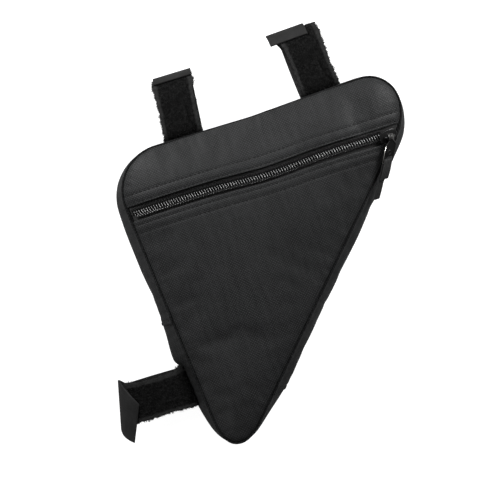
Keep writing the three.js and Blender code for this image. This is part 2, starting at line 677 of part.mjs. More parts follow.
// The loop tape makes the near half of the round, the hook tape the far half and the lap
function strapTapes(strap) {
  const total = strapRound(strap, 0).getLength();
  const half = total / 2;
  const still = () => 0;
  const turn = half / (half + strap.lap);
  const lapStart = 2 * turn - 1;
  const onLap = (share) => ease((share - lapStart) / (1 - lapStart));
  const lapLift = LOOP_TAPE / 2 + LAP_GAP + HOOK_TAPE / 2;
  const loop = strapTape(strap, {
    from: GAP / 2, to: half + LOOP_TUCK, thickness: LOOP_TAPE, liftAt: still, shiftAt: still, skewAt: still,
  });
  const hook = strapTape(strap, {
    from: total - GAP / 2 - 0.4,
    to: half - strap.lap,
    thickness: HOOK_TAPE,
    liftAt: (share) => lapLift * ease((share - 0.12) / 0.3),
    shiftAt: (share) => strap.drift * ease((share - 0.3) / (turn - 0.3)) + strap.slip * onLap(share),
    skewAt: (share) => strap.skew * onLap(share),
  });
  return { loop, hook };
}

// The whole bag
function named(name, geometry, material) {
  const mesh = new THREE.Mesh(geometry, material);
  mesh.name = name;
  return mesh;
}

const bag = new THREE.Group();
const panels = frontPanels();
const tapes = zipTapes();
const seatJoin = joinIndex(SEAT_JOIN_DROP, -1);
const apexJoin = joinIndex(APEX_JOIN_DROP, 1);
bag.add(
  named("back_panel", backPanel(), PANEL_FABRIC),
  named("gusset_upper", gussetStrip(seatJoin, apexJoin), GUSSET_FABRIC),
  named("gusset_lower", gussetStrip(apexJoin, seatJoin), GUSSET_FABRIC),
  named("front_panel_upper", panels.upper, PANEL_FABRIC),
  named("front_panel_lower", panels.lower, PANEL_FABRIC),
  named("zip_tape_upper", tapes.upper, ZIP_TAPE),
  named("zip_tape_lower", tapes.lower, ZIP_TAPE),
  named("zip_coil", zipCoil(), COIL_NYLON),
);

const slider = sliderFrame();
const pull = pullFrame();
slider.add(named("zip_slider", zipSlider(), SLIDER_METAL), pull);
pull.add(named("pull_tab", pullTab(), SLIDER_METAL), named("pull_ribbon", pullRibbon(), PULL_WEBBING));
bag.add(slider);

for (const strap of STRAPS) {
  const { loop, hook } = strapTapes(strap);
  bag.add(named(`${strap.name}_loop_tape`, loop, LOOP_PILE), named(`${strap.name}_hook_tape`, hook, HOOK_BACK));
}

export default bag;
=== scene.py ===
# %% [markdown]
# A bicycle frame bag in Blender
#
# The object is a three-cornered pouch of black coated cloth. It lies on its back with the zip
# face up. It has a cushioned front in two panels, a strip of cloth all round (the gusset), a
# coil zip with a slider and a pull, and three straps of hook-and-loop tape.
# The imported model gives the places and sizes. This script gives the cloth, the stitches, the
# coil and the finishes. All lengths below are in millimetres until a piece is made.

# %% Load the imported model
import json
import math

import bmesh
import bpy
import numpy as np
from bmesh.types import BMEdge, BMFace, BMVert
from mathutils import Matrix, Vector, noise
from mathutils.bvhtree import BVHTree

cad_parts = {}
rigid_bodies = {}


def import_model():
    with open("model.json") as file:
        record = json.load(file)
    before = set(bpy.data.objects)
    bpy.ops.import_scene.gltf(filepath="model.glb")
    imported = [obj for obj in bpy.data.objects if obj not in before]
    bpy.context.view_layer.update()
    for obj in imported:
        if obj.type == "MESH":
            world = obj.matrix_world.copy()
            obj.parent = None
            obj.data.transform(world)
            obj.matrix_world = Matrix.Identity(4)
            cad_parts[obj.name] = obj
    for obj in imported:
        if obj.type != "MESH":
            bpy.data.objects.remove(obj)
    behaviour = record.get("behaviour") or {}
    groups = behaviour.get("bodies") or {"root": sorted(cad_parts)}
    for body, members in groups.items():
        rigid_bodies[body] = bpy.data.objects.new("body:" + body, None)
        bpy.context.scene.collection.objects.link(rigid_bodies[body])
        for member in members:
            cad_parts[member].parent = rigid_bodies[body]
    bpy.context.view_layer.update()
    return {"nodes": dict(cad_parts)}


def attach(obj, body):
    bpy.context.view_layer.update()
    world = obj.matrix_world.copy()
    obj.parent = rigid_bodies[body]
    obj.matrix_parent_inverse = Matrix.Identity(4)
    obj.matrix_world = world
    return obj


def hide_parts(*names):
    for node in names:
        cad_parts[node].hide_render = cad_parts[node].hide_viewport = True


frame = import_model()
MM = 0.001
print("nodes:", ", ".join(sorted(frame["nodes"])))

# %% [markdown]
# The camera stands a metre above the bag and looks straight down, because the photo shows the
# bag flat, with its zip rising to the right by 17.5 degrees. Turning the camera does that, so
# the bag itself keeps the model's axes.

# %% Camera
PICTURE_TURN = math.radians(17.5)
AIM = Vector((-23.5, 14.25, 44.0)) * MM
VIEW_WIDTH = 313 * MM
camera = bpy.data.objects.new("camera", bpy.data.cameras.new("camera"))
bpy.context.scene.collection.objects.link(camera)
camera.location = AIM + Vector((0, 0, 1))
camera.rotation_euler = (0, 0, -PICTURE_TURN)
camera.data.angle = 2 * math.atan(VIEW_WIDTH / 2)
bpy.context.scene.camera = camera
print("lens", round(camera.data.lens, 1), "mm")

# %% [markdown]
# The floor is plain and pale. Two small lamps hang low beyond the picture's two top corners.
# They make the upper cloth lighter than the lower cloth, and the turns of the zip's coil catch
# their light. Black cloth shows mostly what it reflects, so the lamps' places matter more than
# their strength. A narrow pixel filter keeps the coil's fine strokes apart.

# %% Floor and light
FLOOR_HALF = 2.5
FLOOR_CLEARANCE = 0.0004
floor_bm = bmesh.new()
bmesh.ops.create_grid(floor_bm, x_segments=1, y_segments=1, size=FLOOR_HALF)
floor_mesh = bpy.data.meshes.new("floor")
floor_bm.to_mesh(floor_mesh)
floor_bm.free()
floor = bpy.data.objects.new("floor", floor_mesh)
floor.location.z = -FLOOR_CLEARANCE
bpy.context.scene.collection.objects.link(floor)


def area_light(name, picture_x, picture_y, height, size, power):
    """A square lamp, placed by the picture's own right and up, that faces the bag."""
    lamp = bpy.data.objects.new(name, bpy.data.lights.new(name, "AREA"))
    lamp.data.size = size
    lamp.data.energy = power
    right = Vector((math.cos(PICTURE_TURN), -math.sin(PICTURE_TURN), 0))
    up = Vector((math.sin(PICTURE_TURN), math.cos(PICTURE_TURN), 0))
    lamp.location = AIM + right * picture_x + up * picture_y + Vector((0, 0, height))
    lamp.rotation_mode = "QUATERNION"
    lamp.rotation_quaternion = (AIM - lamp.location).to_track_quat("-Z", "Y")
    bpy.context.scene.collection.objects.link(lamp)


area_light("light_over_left_corner", -0.32, 0.29, 0.28, 0.22, 3.5)
area_light("light_over_right_corner", 0.33, 0.3, 0.28, 0.2, 3.7)

world = bpy.data.worlds.new("surround")
world.use_nodes = True
bpy.context.scene.world = world
bpy.context.scene.view_settings.view_transform = "Standard"
bpy.context.scene.cycles.pixel_filter_width = 1.0

# %% [markdown]
# Finishes are node materials. Shader sums are written as ordinary Python: a small class wraps
# a socket, and each operator on it adds the Math node that does it. Vectors and colours go
# through Vector Math and Mix nodes, because a Math node would turn a colour grey.


# %% Shader arithmetic
class Wire:
    """One output socket, with Python's operators on it."""

    def __init__(self, finish, socket):
        self.finish = finish
        self.socket = socket

    def math(self, operation, *others):
        inputs = dict(enumerate((self, *others)))
        return self.finish.node("ShaderNodeMath", {"operation": operation}, inputs)

    def __add__(self, other):
        return self.math("ADD", other)

    def __sub__(self, other):
        return self.math("SUBTRACT", other)

    def __rsub__(self, other):
        return self.finish.node("ShaderNodeMath", {"operation": "SUBTRACT"}, {0: other, 1: self})

    def __mul__(self, other):
        return self.math("MULTIPLY", other)

    def __pow__(self, other):
        return self.math("POWER", other)

    __radd__ = __add__
    __rmul__ = __mul__

    def sine(self):
        return self.math("SINE")

    def size(self):
        return self.math("ABSOLUTE")

    def step(self, low, high):
        """0 below low, 1 above high, smooth between."""
        inputs = {"Value": self, "From Min": low, "From Max": high}
        return self.finish.node("ShaderNodeMapRange", {"interpolation_type": "SMOOTHSTEP"}, inputs)


class Finish:
    """A Principled material whose nodes are added by code."""

    def __init__(self, name, roughness=0.6, specular=0.5):
        self.material = bpy.data.materials.new(name)
        self.material.use_nodes = True
        self.tree = self.material.node_tree
        self.shader = self.tree.nodes["Principled BSDF"]
        self.set("Roughness", roughness)
        self.set("Specular IOR Level", specular)

    def plug(self, value, target):
        if isinstance(value, Wire):
            self.tree.links.new(value.socket, target)
        else:
            target.default_value = value

    def set(self, socket, value):
        self.plug(value, self.shader.inputs[socket])

    def node(self, kind, settings=None, inputs=None, output=0):
        node = self.tree.nodes.new(kind)
        for key, value in (settings or {}).items():
            setattr(node, key, value)
        for key, value in (inputs or {}).items():
            self.plug(value, node.inputs[key])
        return Wire(self, node.outputs[output])

    def place(self):
        """The surface's own place in metres."""
        return self.node("ShaderNodeTexCoord", output="Object")

    def cloth_map(self):
        """The map that follows the cloth, in metres."""
        return self.node("ShaderNodeUVMap", {"uv_map": "cloth"})

    def parts(self, vector):
        node = self.node("ShaderNodeSeparateXYZ", inputs={0: vector}).socket.node
        return [Wire(self, socket) for socket in node.outputs]

    def noise(self, vector, scale, detail=3.0, roughness=0.55):
        inputs = {"Vector": vector, "Scale": scale, "Detail": detail, "Roughness": roughness}
        return self.node("ShaderNodeTexNoise", inputs=inputs)

    def mix(self, factor, dark, light):
        return self.node("ShaderNodeMix", {"data_type": "RGBA"}, {0: factor, 6: dark, 7: light}, output=2)

    def bump(self, height, distance, strength=1.0, under=None):
        inputs = {"Strength": strength, "Distance": distance, "Height": height}
        if under is not None:
            inputs["Normal"] = under
        return self.node("ShaderNodeBump", inputs=inputs)

    def tint(self, factor, dark, light, warm=0.0):
        """Base colour between two greys."""
        self.set("Base Color", self.mix(factor, grey(dark, warm), grey(light, warm)))

    def relief(self, height, distance, strength, under=None):
        self.set("Normal", self.bump(height, distance, strength, under))


def grey(level, warm=0.0):
    """A near-grey colour in linear light."""
    return (level * (1 + warm), level, level * (1 - warm), 1.0)


# %% [markdown]
# The bag's cloth is a coated oxford weave: fat yarns over and under each other, about 0.9 mm
# apart, under a dull film. The weave is two crossed waves that take turns, on the cloth's own
# map, so that it follows each panel as it was cut. Slow noise makes the film a little uneven,
# and the rubbed folds a little lighter. The height drives a bump, and the same height tints
# the colour, because the yarns' crowns wear pale.

# %% Weaves
OXFORD_PITCH = 0.00092


def plain_weave(finish, cloth, pitch, drift):
    """Height of an over-and-under weave, 0 in the gaps and 1 on the crowns."""
    u, v, _ = finish.parts(cloth)
    wander = finish.noise(cloth, 90.0, 2.0)
    per_yarn = math.pi / pitch
    across = (u * per_yarn + wander * drift).sine()
    along = (v * per_yarn + wander * drift).sine()
    checker = across * along
    return (checker.size() ** 0.6) * 0.55 + checker.step(-0.4, 0.4) * 0.45


def cloth_finish(name, level, light_level, dullness=0.0):
    finish = Finish(name, specular=0.09 - dullness * 0.2)
    cloth = finish.cloth_map()
    place = finish.place()
    height = plain_weave(finish, cloth, OXFORD_PITCH, 1.4)
    patches = finish.noise(place, 34.0, 4.0)
    fine = finish.noise(place, 900.0, 2.0)
    stretched = finish.node("ShaderNodeMapping", {}, {"Vector": cloth, "Scale": (330.0, 42.0, 1.0)})
    streaks = finish.noise(stretched, 1.0, 2.0)
    shade = height * 0.62 + patches * 0.22 + fine * 0.26 + streaks * 0.22
    finish.tint(shade.step(0.25, 1.05), level, light_level, -0.02)
    finish.set("Roughness", 0.54 + dullness - patches * 0.14 - height * 0.06)
    weave = finish.bump(height, 0.00016, 0.7)
    finish.relief(patches, 0.0008, 0.35, weave)
    return finish.material


SHELL = cloth_finish("coated_oxford_panel", 0.001, 0.0265)
GUSSET = cloth_finish("coated_oxford_gusset", 0.001, 0.026, dullness=0.2)
print("cloth finishes:", SHELL.name, GUSSET.name)

# %% [markdown]
# The other finishes: ribbed zip tape, nylon for the coil (a lighter, glossy copy on the spring that lies
# higher, as painted light on its strokes, and a darker, dull copy on the other, as painted shade between
# them), thread, enamelled metal that is worn bright at its edges, with one edge of the pull bare and bright
# as a painted highlight, ribbed webbing, and the two faces of hook-and-loop tape. The loop side is a felt of
# tiny loops with a smooth woven band along each edge. The back of the hook tape is a close, flat weave.


# %% Tape, thread, nylon and metal
def ribs_of(length, pitch, depth):
    """A wave along one axis, between 1 - 2 * depth and 1."""
    return (length * (2 * math.pi / pitch)).sine() * depth + (1 - depth)


def webbing_finish(name, level, light_level, pitch):
    """Ribs that run along a tape's own map, with finer ribs across them."""
    finish = Finish(name, roughness=0.7, specular=0.2)
    u, v, _ = finish.parts(finish.cloth_map())
    fuzz = finish.noise(finish.place(), 1500.0, 2.0)
    height = ribs_of(v, pitch, 0.5) * 0.7 + ribs_of(u, pitch * 0.6, 0.5) * 0.3
    finish.tint((height * 0.6 + fuzz * 0.5).step(0.2, 0.95), level, light_level)
    finish.relief(height + fuzz * 0.4, 0.0003, 0.8)
    return finish.material


def zip_tape_finish(name, level, light_level, pitch):
    """Ribs that run along the zip, on the object's own coordinates."""
    finish = Finish(name, roughness=0.8, specular=0.12)
    x, y, _ = finish.parts(finish.place())
    herring = ribs_of(y, pitch, 0.5) * ribs_of(x, pitch, 0.3)
    fuzz = finish.noise(finish.place(), 1300.0, 2.0)
    finish.tint((herring * 0.6 + fuzz * 0.5).step(0.2, 0.9), level, light_level)
    finish.relief(herring, 0.0002, 0.8)
    return finish.material


def nylon_finish(name, level, roughness, specular, coat):
    """Drawn nylon. coat is the least weight of its gloss film, or 0 for none."""
    finish = Finish(name, specular=specular)
    rub = finish.noise(finish.place(), 260.0, 3.0)
    finish.tint(rub.step(0.35, 0.7), level * 0.7, level * 1.35)
    finish.set("Roughness", rub * 0.08 + roughness)
    if coat:
        finish.set("Coat Roughness", 0.14)
        finish.set("Coat Weight", rub.step(0.2, 0.6) * 0.3 + coat)
    return finish.material


def metal_finish(name, wear):
    """Black enamel that is rubbed off where the edges are sharp, and everywhere with more wear. The bare,
    bright metal on one edge of the pull uses that, as a painted highlight.
    """
    finish = Finish(name, specular=0.25)
    speck = finish.noise(finish.place(), 700.0, 4.0, 0.7)
    edge = finish.node("ShaderNodeNewGeometry", output="Pointiness")
    # Where this mask is 1 the enamel is bare bright metal. That is real edge wear, and on the pull's one edge
    # it is a painted highlight.
    worn = (edge + speck * 0.05 + wear).step(0.64, 0.74)
    finish.set("Base Color", finish.mix(worn, grey(0.005), (0.62, 0.61, 0.58, 1)))
    finish.set("Metallic", worn)
    finish.set("Roughness", 0.2 + speck * 0.1)
    finish.relief(speck, 0.00006, 0.4)
    return finish.material


def thread_finish(name, level):
    finish = Finish(name, roughness=0.65, specular=0.15)
    twist = finish.noise(finish.place(), 2400.0, 1.0)
    finish.tint(twist.step(0.3, 0.7), level * 0.6, level * 1.6)
    finish.relief(twist, 0.0001, 0.8)
    return finish.material


ZIP_TAPE = zip_tape_finish("zip_tape_weave", 0.006, 0.04, 0.0006)
# Two copies of one nylon: a lighter one, painted light on the lower spring's strokes, and a darker one,
# painted shade on the upper spring in the gaps.
COIL_PAINTED_LIT = nylon_finish("coil_nylon_gloss_painted_lit", 0.02, 0.14, 0.55, coat=0.3)
COIL_PAINTED_SHADE = nylon_finish("coil_nylon_dull_painted_shade", 0.002, 0.6, 0.05, coat=0)
METAL = metal_finish("slider_enamel", 0.0)
# Bare bright metal, used only along one edge of the pull as a painted highlight.
BARE_METAL_PAINTED_HIGHLIGHT = metal_finish("enamel_rubbed_off_as_painted_highlight", 0.14)
THREAD = thread_finish("topstitch_thread", 0.004)
COIL_THREAD = thread_finish("coil_thread", 0.006)
WEBBING = webbing_finish("pull_webbing_ribs", 0.002, 0.02, 0.0011)


# %% Hook-and-loop tape finishes
def loop_finish(name):
    """Felt of tiny loops, with a smooth woven band along both edges of the tape."""
    finish = Finish(name, roughness=0.95, specular=0.05)
    cloth = finish.cloth_map()
    _, v, _ = finish.parts(cloth)
    wander = finish.noise(cloth, 180.0, 2.0) * 0.0016 - 0.0008
    band = (v + wander).size().step(0.0092, 0.0106)
    curls = finish.node(
        "ShaderNodeTexVoronoi", {"feature": "DISTANCE_TO_EDGE"},
        {"Vector": cloth, "Scale": 620.0, "Randomness": 1.0},
    )
    tufts = finish.noise(cloth, 430.0, 5.0, 0.7)
    pile = tufts * 0.75 + curls * 0.5
    weave = plain_weave(finish, cloth, 0.0005, 0.8)
    pile_colour = finish.mix(pile.step(0.28, 0.72), grey(0.0008), grey(0.0085))
    band_colour = finish.mix((weave * 0.5 + tufts * 0.6).step(0.3, 0.9), grey(0.006), grey(0.026))
    finish.set("Base Color", finish.mix(band, pile_colour, band_colour))
    finish.relief((1 - band) * pile + band * weave * 0.15, 0.0009, 0.9)
    return finish.material


def hook_finish(name, level, light_level):
    """The close, flat weave on the back of the hook tape."""
    finish = Finish(name, specular=0.12)
    cloth = finish.cloth_map()
    weave = plain_weave(finish, cloth, 0.00045, 0.5)
    film = finish.noise(cloth, 120.0, 4.0)
    finish.tint((weave * 0.4 + film * 0.7).step(0.25, 0.95), level, light_level)
    finish.set("Roughness", 0.74 + film * 0.15)
    finish.relief(weave, 0.00012, 0.6)
    return finish.material


LOOP_PILE = loop_finish("loop_tape_pile")
HOOK_BACK = hook_finish("hook_tape_back", 0.005, 0.019)
PILE_FIBRE = thread_finish("loop_pile_fibre", 0.006)
print("materials:", len(bpy.data.materials))

# %% [markdown]
# The floor has the very faint unevenness of a sheet of paper. The camera sees it as white, but
# it gives the bag much less light than that, as a white page far below the bag would. The
# surround is dark, and lighter to the upper left of the picture, so the cloth that faces that
# way is lighter too.

# %% Floor and surround finishes
TO_LIGHT = (-0.67, 0.64, 0.38)
paper = Finish("pale_floor", roughness=0.9)
paper.tint(paper.noise(paper.place(), 6.0, 2.0), 0.28, 0.32)
seen = paper.node("ShaderNodeLightPath", output="Is Camera Ray")
paper.set("Emission Color", paper.mix(seen, grey(0.33), grey(0.95)))
paper.set("Emission Strength", 1.0)
floor.data.materials.append(paper.material)

sky = Finish("surround_shades")
sky.tree = world.node_tree
way = sky.node("ShaderNodeTexCoord", output="Generated")
facing_light = sky.node("ShaderNodeVectorMath", {"operation": "DOT_PRODUCT"}, {0: way, 1: TO_LIGHT}, output=1)
shades = sky.mix(facing_light.step(-0.5, 0.9), grey(0.02), grey(0.48))
sky.plug(shades, sky.tree.nodes["Background"].inputs["Color"])
print("surround: lighter towards", TO_LIGHT)

# %% [markdown]
# Every piece is built in a bmesh in millimetres, then written to an object that sits at the
# origin. The first helper here does that last step: it scales to metres, names the piece, puts
# it on its body and gives it a finish. The others are small steps that many pieces share.


# %% Making a piece
def make_piece(name, bm, finish, body="bag"):
    bmesh.ops.scale(bm, vec=(MM,) * 3, verts=bm.verts)
    mesh = bpy.data.meshes.new(name)
    bm.to_mesh(mesh)
    bm.free()
    mesh.polygons.foreach_set("use_smooth", [True] * len(mesh.polygons))
    piece = bpy.data.objects.new(name, mesh)
    bpy.context.scene.collection.objects.link(piece)
    mesh.materials.append(finish)
    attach(piece, body)
    print(f"{name}: {len(mesh.vertices)} vertices, {len(mesh.polygons)} faces")
    return piece


def add_wall(piece, thickness, offset, edge):
    """Gives a skin its thickness, with soft edges."""
    solid = piece.modifiers.new("wall", "SOLIDIFY")
    solid.thickness = thickness * MM
    solid.offset = offset
    solid.use_even_offset = False
    soft = piece.modifiers.new("soft_edge", "BEVEL")
    soft.width = edge * MM
    soft.segments = 2
    soft.limit_method = "ANGLE"
    soft.angle_limit = math.radians(50)


def with_modifiers(mesh_object, *steps):
    """Adds modifiers, bakes them into a new bmesh in millimetres and removes the object."""
    for kind, settings in steps:
        modifier = mesh_object.modifiers.new(kind.lower(), kind)
        for key, value in settings.items():
            setattr(modifier, key, value)
    graph = bpy.context.evaluated_depsgraph_get()
    mesh = bpy.data.meshes.new_from_object(mesh_object.evaluated_get(graph))
    bm = bmesh.new()
    bm.from_mesh(mesh)
    bmesh.ops.scale(bm, vec=(1 / MM,) * 3, verts=bm.verts)
    bpy.data.meshes.remove(mesh)
    bpy.data.objects.remove(mesh_object)
    return bm


def loose_object(name, bm):
    """A temporary object in metres, for a modifier or a simulation."""
    mesh = bpy.data.meshes.new(name)
    bm.to_mesh(mesh)
    mesh.transform(Matrix.Scale(MM, 4))
    made = bpy.data.objects.new(name, mesh)
    bpy.context.scene.collection.objects.link(made)
    return made


def join_into(bm, *others):
    """Adds other bmeshes to one, as loose parts of it."""
    spare = bpy.data.meshes.new("spare")
    for other in others:
        other.to_mesh(spare)
        bm.from_mesh(spare)
        other.free()
    bpy.data.meshes.remove(spare)


def only(kind, items):
    """The verts, the edges or the faces among what an operator made."""
    return [item for item in items if isinstance(item, kind)]


def everything(bm):
    return bm.verts[:] + bm.edges[:] + bm.faces[:]


def extruded(bm, edges):
    """Extrudes edges on the spot: gives the new verts, the new row of edges and the new faces."""
    made = bmesh.ops.extrude_edge_only(bm, edges=edges)["geom"]
    verts = only(BMVert, made)
    fresh = set(verts)
    row = [e for e in only(BMEdge, made) if fresh.issuperset(e.verts)]
    return verts, row, only(BMFace, made)


def places(verts):
    return np.array([v.co for v in verts])


def push(verts, ways, amounts):
    """Moves each vert sideways, by its own amount along its own way."""
    for v, way, amount in zip(verts, ways, np.broadcast_to(amounts, len(ways)), strict=True):
        v.co.x += way[0] * amount
        v.co.y += way[1] * amount


def bell(offset, width):
    return np.exp(-((offset / width) ** 2))


def ease(t):
    """From 0 to 1, slow at both ends."""
    t = np.clip(t, 0, 1)
    return t * t * (3 - 2 * t)

# %% [markdown]
# The seam where the front meets the gusset is a four-sided outline with round corners. It
# starts as one face with a corner at each point, and a vertex bevel rounds each corner by its
# own radius.

# %% The seam's outline
CORNERS = [
    {"x": -92.6, "y": 94.2, "radius": 30.0},
    {"x": 94.0, "y": 96.7, "radius": 20.0},
    {"x": 94.0, "y": 64.1, "radius": 31.0},
    {"x": -74.2, "y": -116.2, "radius": 15.4},
]


def rounded_outline(segments=12):
    corners = [Vector((corner["x"], corner["y"], 0)) for corner in CORNERS]
    bm = bmesh.new()
    bm.faces.new([bm.verts.new(corner) for corner in corners])
    for i, point in enumerate(corners):
        before = (corners[i - 1] - point).normalized()
        after = (corners[(i + 1) % len(corners)] - point).normalized()
        reach = CORNERS[i]["radius"] / math.tan(before.angle(after) / 2)
        vert = min(bm.verts, key=lambda v: (v.co - point).length)
        bmesh.ops.bevel(
            bm, geom=[vert], offset=reach, offset_type="ABSOLUTE", segments=segments, profile=0.5,
            affect="VERTICES", material=-1,
        )
    face = max(bm.faces, key=lambda f: f.calc_area())
    points = np.array([loop.vert.co.to_2d() for loop in face.loops])
    bm.free()
    return points


ring = rounded_outline()
if sum(a[0] * b[1] - b[0] * a[1] for a, b in zip(ring, np.roll(ring, -1, 0), strict=True)) > 0:
    ring = ring[::-1].copy()
ring_sides = list(zip(ring, np.roll(ring, -1, 0), strict=True))
print("outline points:", len(ring), "box", ring.min(0).round(1), ring.max(0).round(1))

# %% [markdown]
# Many later steps ask the same questions of a point: how far is it from the seam, which way is
# out, and how far along the seam is it? This cell answers them for thousands of points at once.
# It also says how much the gusset swells at each place, which differs by the way it faces.

# %% Questions about the seam
# The way that the gusset faces, in degrees, and its swell there as a share of its depth
SWELL_BY_FACING = [
    (-185, 0.225), (-165, 0.18), (-120, 0.05), (-75, 0.03), (-43, 0.175), (-20, 0.09),
    (0, 0.05), (60, 0.03), (90, 0.03), (135, 0.04), (160, 0.12), (175, 0.225),
]
GUSSET_DEPTH = 36.0
SWELL_EASE = 22.0
SEAM_STEP = 4.0

starts = []
for a, b in ring_sides:
    steps = max(1, round(np.linalg.norm(b - a) / SEAM_STEP))
    starts += [a + (b - a) * k / steps for k in range(steps)]
seam = np.array(starts)
seam_next = np.roll(seam, -1, 0)
edge = seam_next - seam
edge_length = np.linalg.norm(edge, axis=1)
along_seam = np.concatenate([[0], np.cumsum(edge_length)[:-1]])
seam_length = edge_length.sum()
tangent = np.roll(seam, -1, 0) - np.roll(seam, 1, 0)
outward = np.stack([-tangent[:, 1], tangent[:, 0]], 1) / np.linalg.norm(tangent, axis=1)[:, None]

facing = np.degrees(np.arctan2(outward[:, 1], outward[:, 0]))
facing = np.where(facing > SWELL_BY_FACING[-1][0], facing - 360, facing)
full_swell = GUSSET_DEPTH * np.interp(facing, *zip(*SWELL_BY_FACING, strict=True))
apart = np.linalg.norm(seam[:, None] - seam[None], axis=2)
weight = np.exp(-((apart / SWELL_EASE) ** 2)) * edge_length[None]
swell = (weight * full_swell[None]).sum(1) / weight.sum(1)


def ask_seam(points):
    """For each point: distance from the seam, way out, swell and length along the seam."""
    points = np.asarray(points, float)[:, :2]
    best = np.full(len(points), 1e9)
    found = np.zeros((len(points), 2), int)
    share_of = np.zeros(len(points))
    for i in range(len(seam)):
        share = np.clip(((points - seam[i]) @ edge[i]) / edge_length[i] ** 2, 0, 1)
        away = np.linalg.norm(points - seam[i] - share[:, None] * edge[i], axis=1)
        nearer = away < best
        best = np.where(nearer, away, best)
        found[nearer] = (i, (i + 1) % len(seam))
        share_of = np.where(nearer, share, share_of)
    i, j = found[:, 0], found[:, 1]
    t = share_of[:, None]
    out = outward[i] * (1 - t) + outward[j] * t
    out /= np.linalg.norm(out, axis=1)[:, None]
    amount = swell[i] * (1 - share_of) + swell[j] * share_of
    return best, out, amount, along_seam[i] + share_of * edge_length[i]


print("seam length", round(seam_length, 1), "swell from", swell.min().round(2), "to", swell.max().round(2))

# %% [markdown]
# The front swells like a thin cushion. Its height falls off towards the seam, is highest along
# the zip, and has a few soft dimples. The back does the same, downwards, and is pressed flat
# where the bag lies on it. The top edge sags a little in its middle, and so does the zip.

# %% The cushion's shape
TOP_Y, SEAT_X, TOP_LENGTH, APEX_DROP, ZIP_Y = 94.2, -92.6, 186.6, 210.4, 56.7
FRONT_CROWN, BACK_CROWN, EDGE_FALL, APEX_SHARE = 8.0, 5.0, 45.0, 0.55
RIM_Z, GUSSET_TOP, GUSSET_BOTTOM, BACK_RIM = 43.2, 42.5, 6.8, 5.6
SAG_X, SAG_HALF, SAG_DEEP, SAG_START = 1.4, 80.0, 2.2, 8.0
BOW_X, BOW_HALF, BOW_DEEP, BOW_END = 2.0, 26.0, 1.9, 0.25
# Across, down, depth and spread, as shares of the bag's length, drop, crown and length
DIMPLES = [
    (0.86, 0.09, 0.16, 0.07), (0.52, 0.07, 0.1, 0.1), (0.16, 0.1, 0.12, 0.07),
    (0.18, 0.62, 0.1, 0.1), (0.47, 0.42, 0.08, 0.12),
]


def cushion(distance):
    inside = np.clip(distance / EDGE_FALL, 0, 1)
    return np.clip(1 - (1 - inside) ** 2.5, 0, None) ** 0.8


def front_rise(points, distance):
    below = np.clip(ZIP_Y - points[:, 1], 0, None) / (APEX_DROP - (TOP_Y - ZIP_Y))
    dimple = np.zeros(len(points))
    for across, down, depth, spread in DIMPLES:
        centre = (SEAT_X + across * TOP_LENGTH, TOP_Y - down * APEX_DROP)
        away = np.linalg.norm(points[:, :2] - centre, axis=1)
        dimple += depth * bell(away, spread * TOP_LENGTH)
    return FRONT_CROWN * cushion(distance) * (1 - (1 - APEX_SHARE) * below - dimple)


def back_fall(distance):
    return BACK_CROWN * np.clip(cushion(distance) / 0.8, 0, 1)


def zip_bow(x):
    """The zip dips a little in its middle."""
    return BOW_END - BOW_DEEP * bell(np.asarray(x) - BOW_X, BOW_HALF)


def edge_bow(x, y):
    """How far the cloth beside the zip moves with it. The window's edges close in on the coil."""
    raised = np.where(y < ZIP_Y, 0.9, 0.35) * np.clip((60 - x) / 30, 0, 1)
    return (zip_bow(x) + raised) * np.clip(1 - np.abs(y - ZIP_Y) / 30, 0, 1)


def top_sag(points):
    """How far the top edge sinks between its two corners."""
    tent = SAG_DEEP * np.clip(1 - np.abs(points[:, 0] - SAG_X) / SAG_HALF, 0, 1)
    return tent * ease((points[:, 1] - ZIP_Y - SAG_START) / (TOP_Y - ZIP_Y - SAG_START))


def gusset_share(points):
    """Place across the gusset's depth, from -1 at its back rim to 1 at its front rim."""
    return (2 * points[:, 2] - GUSSET_TOP - GUSSET_BOTTOM) / (GUSSET_TOP - GUSSET_BOTTOM)


print("zip's place in its middle and at its end:", zip_bow(BOW_X), zip_bow(BOW_X + 80).round(2))

# %% [markdown]
# The whole cloth body starts as one closed mesh, so that it can be simulated as one bag. A
# grid is trimmed to the outline with one plane cut for each short side. Its rim is extruded
# down in steps for the gusset, and a second trimmed grid closes the back. Two more cuts mark
# the zip's window, which a later cell takes out.

# %% The body as one closed mesh
CELL = 3.6
MERGE = 1.1
SNAP = 1.3
GUSSET_ROWS = 10
WINDOW_TOP, WINDOW_BOTTOM = ZIP_Y + 5.3, ZIP_Y - 4.8
FRONT, STRIP, BACK = 0, 1, 2


def trimmed_grid(marks):
    """A flat grid inside the outline, with a row of verts on each marked height."""
    low, high = ring.min(0) - CELL, ring.max(0) + CELL
    middle, half = (low + high) / 2, (high - low) / 2
    place = Matrix.Translation((middle[0], middle[1], 0)) @ Matrix.Diagonal((half[0], half[1], 1, 1))
    bm = bmesh.new()
    bmesh.ops.create_grid(
        bm, x_segments=round(2 * half[0] / CELL), y_segments=round(2 * half[1] / CELL), size=1, matrix=place
    )
    planes = [((a[0], a[1], 0), (a[1] - b[1], b[0] - a[0], 0), True) for a, b in ring_sides]
    planes += [((0, height, 0), (0, 1, 0), False) for height in marks]
    for point, normal, trim in planes:
        bmesh.ops.bisect_plane(
            bm, geom=everything(bm), dist=1e-5, plane_co=point, plane_no=normal, clear_outer=trim
        )
    bmesh.ops.remove_doubles(bm, verts=bm.verts, dist=MERGE)
    for v in bm.verts:
        point = np.array([v.co.x, v.co.y])
        if v.is_boundary:
            share = np.clip(((point - seam) * edge).sum(1) / edge_length**2, 0, 1)
            feet = seam + share[:, None] * edge
            v.co.x, v.co.y = feet[np.argmin(np.linalg.norm(feet - point, axis=1))]
        for height in marks:
            if abs(point[1] - height) < SNAP and not v.is_boundary:
                v.co.y = height
    return bm


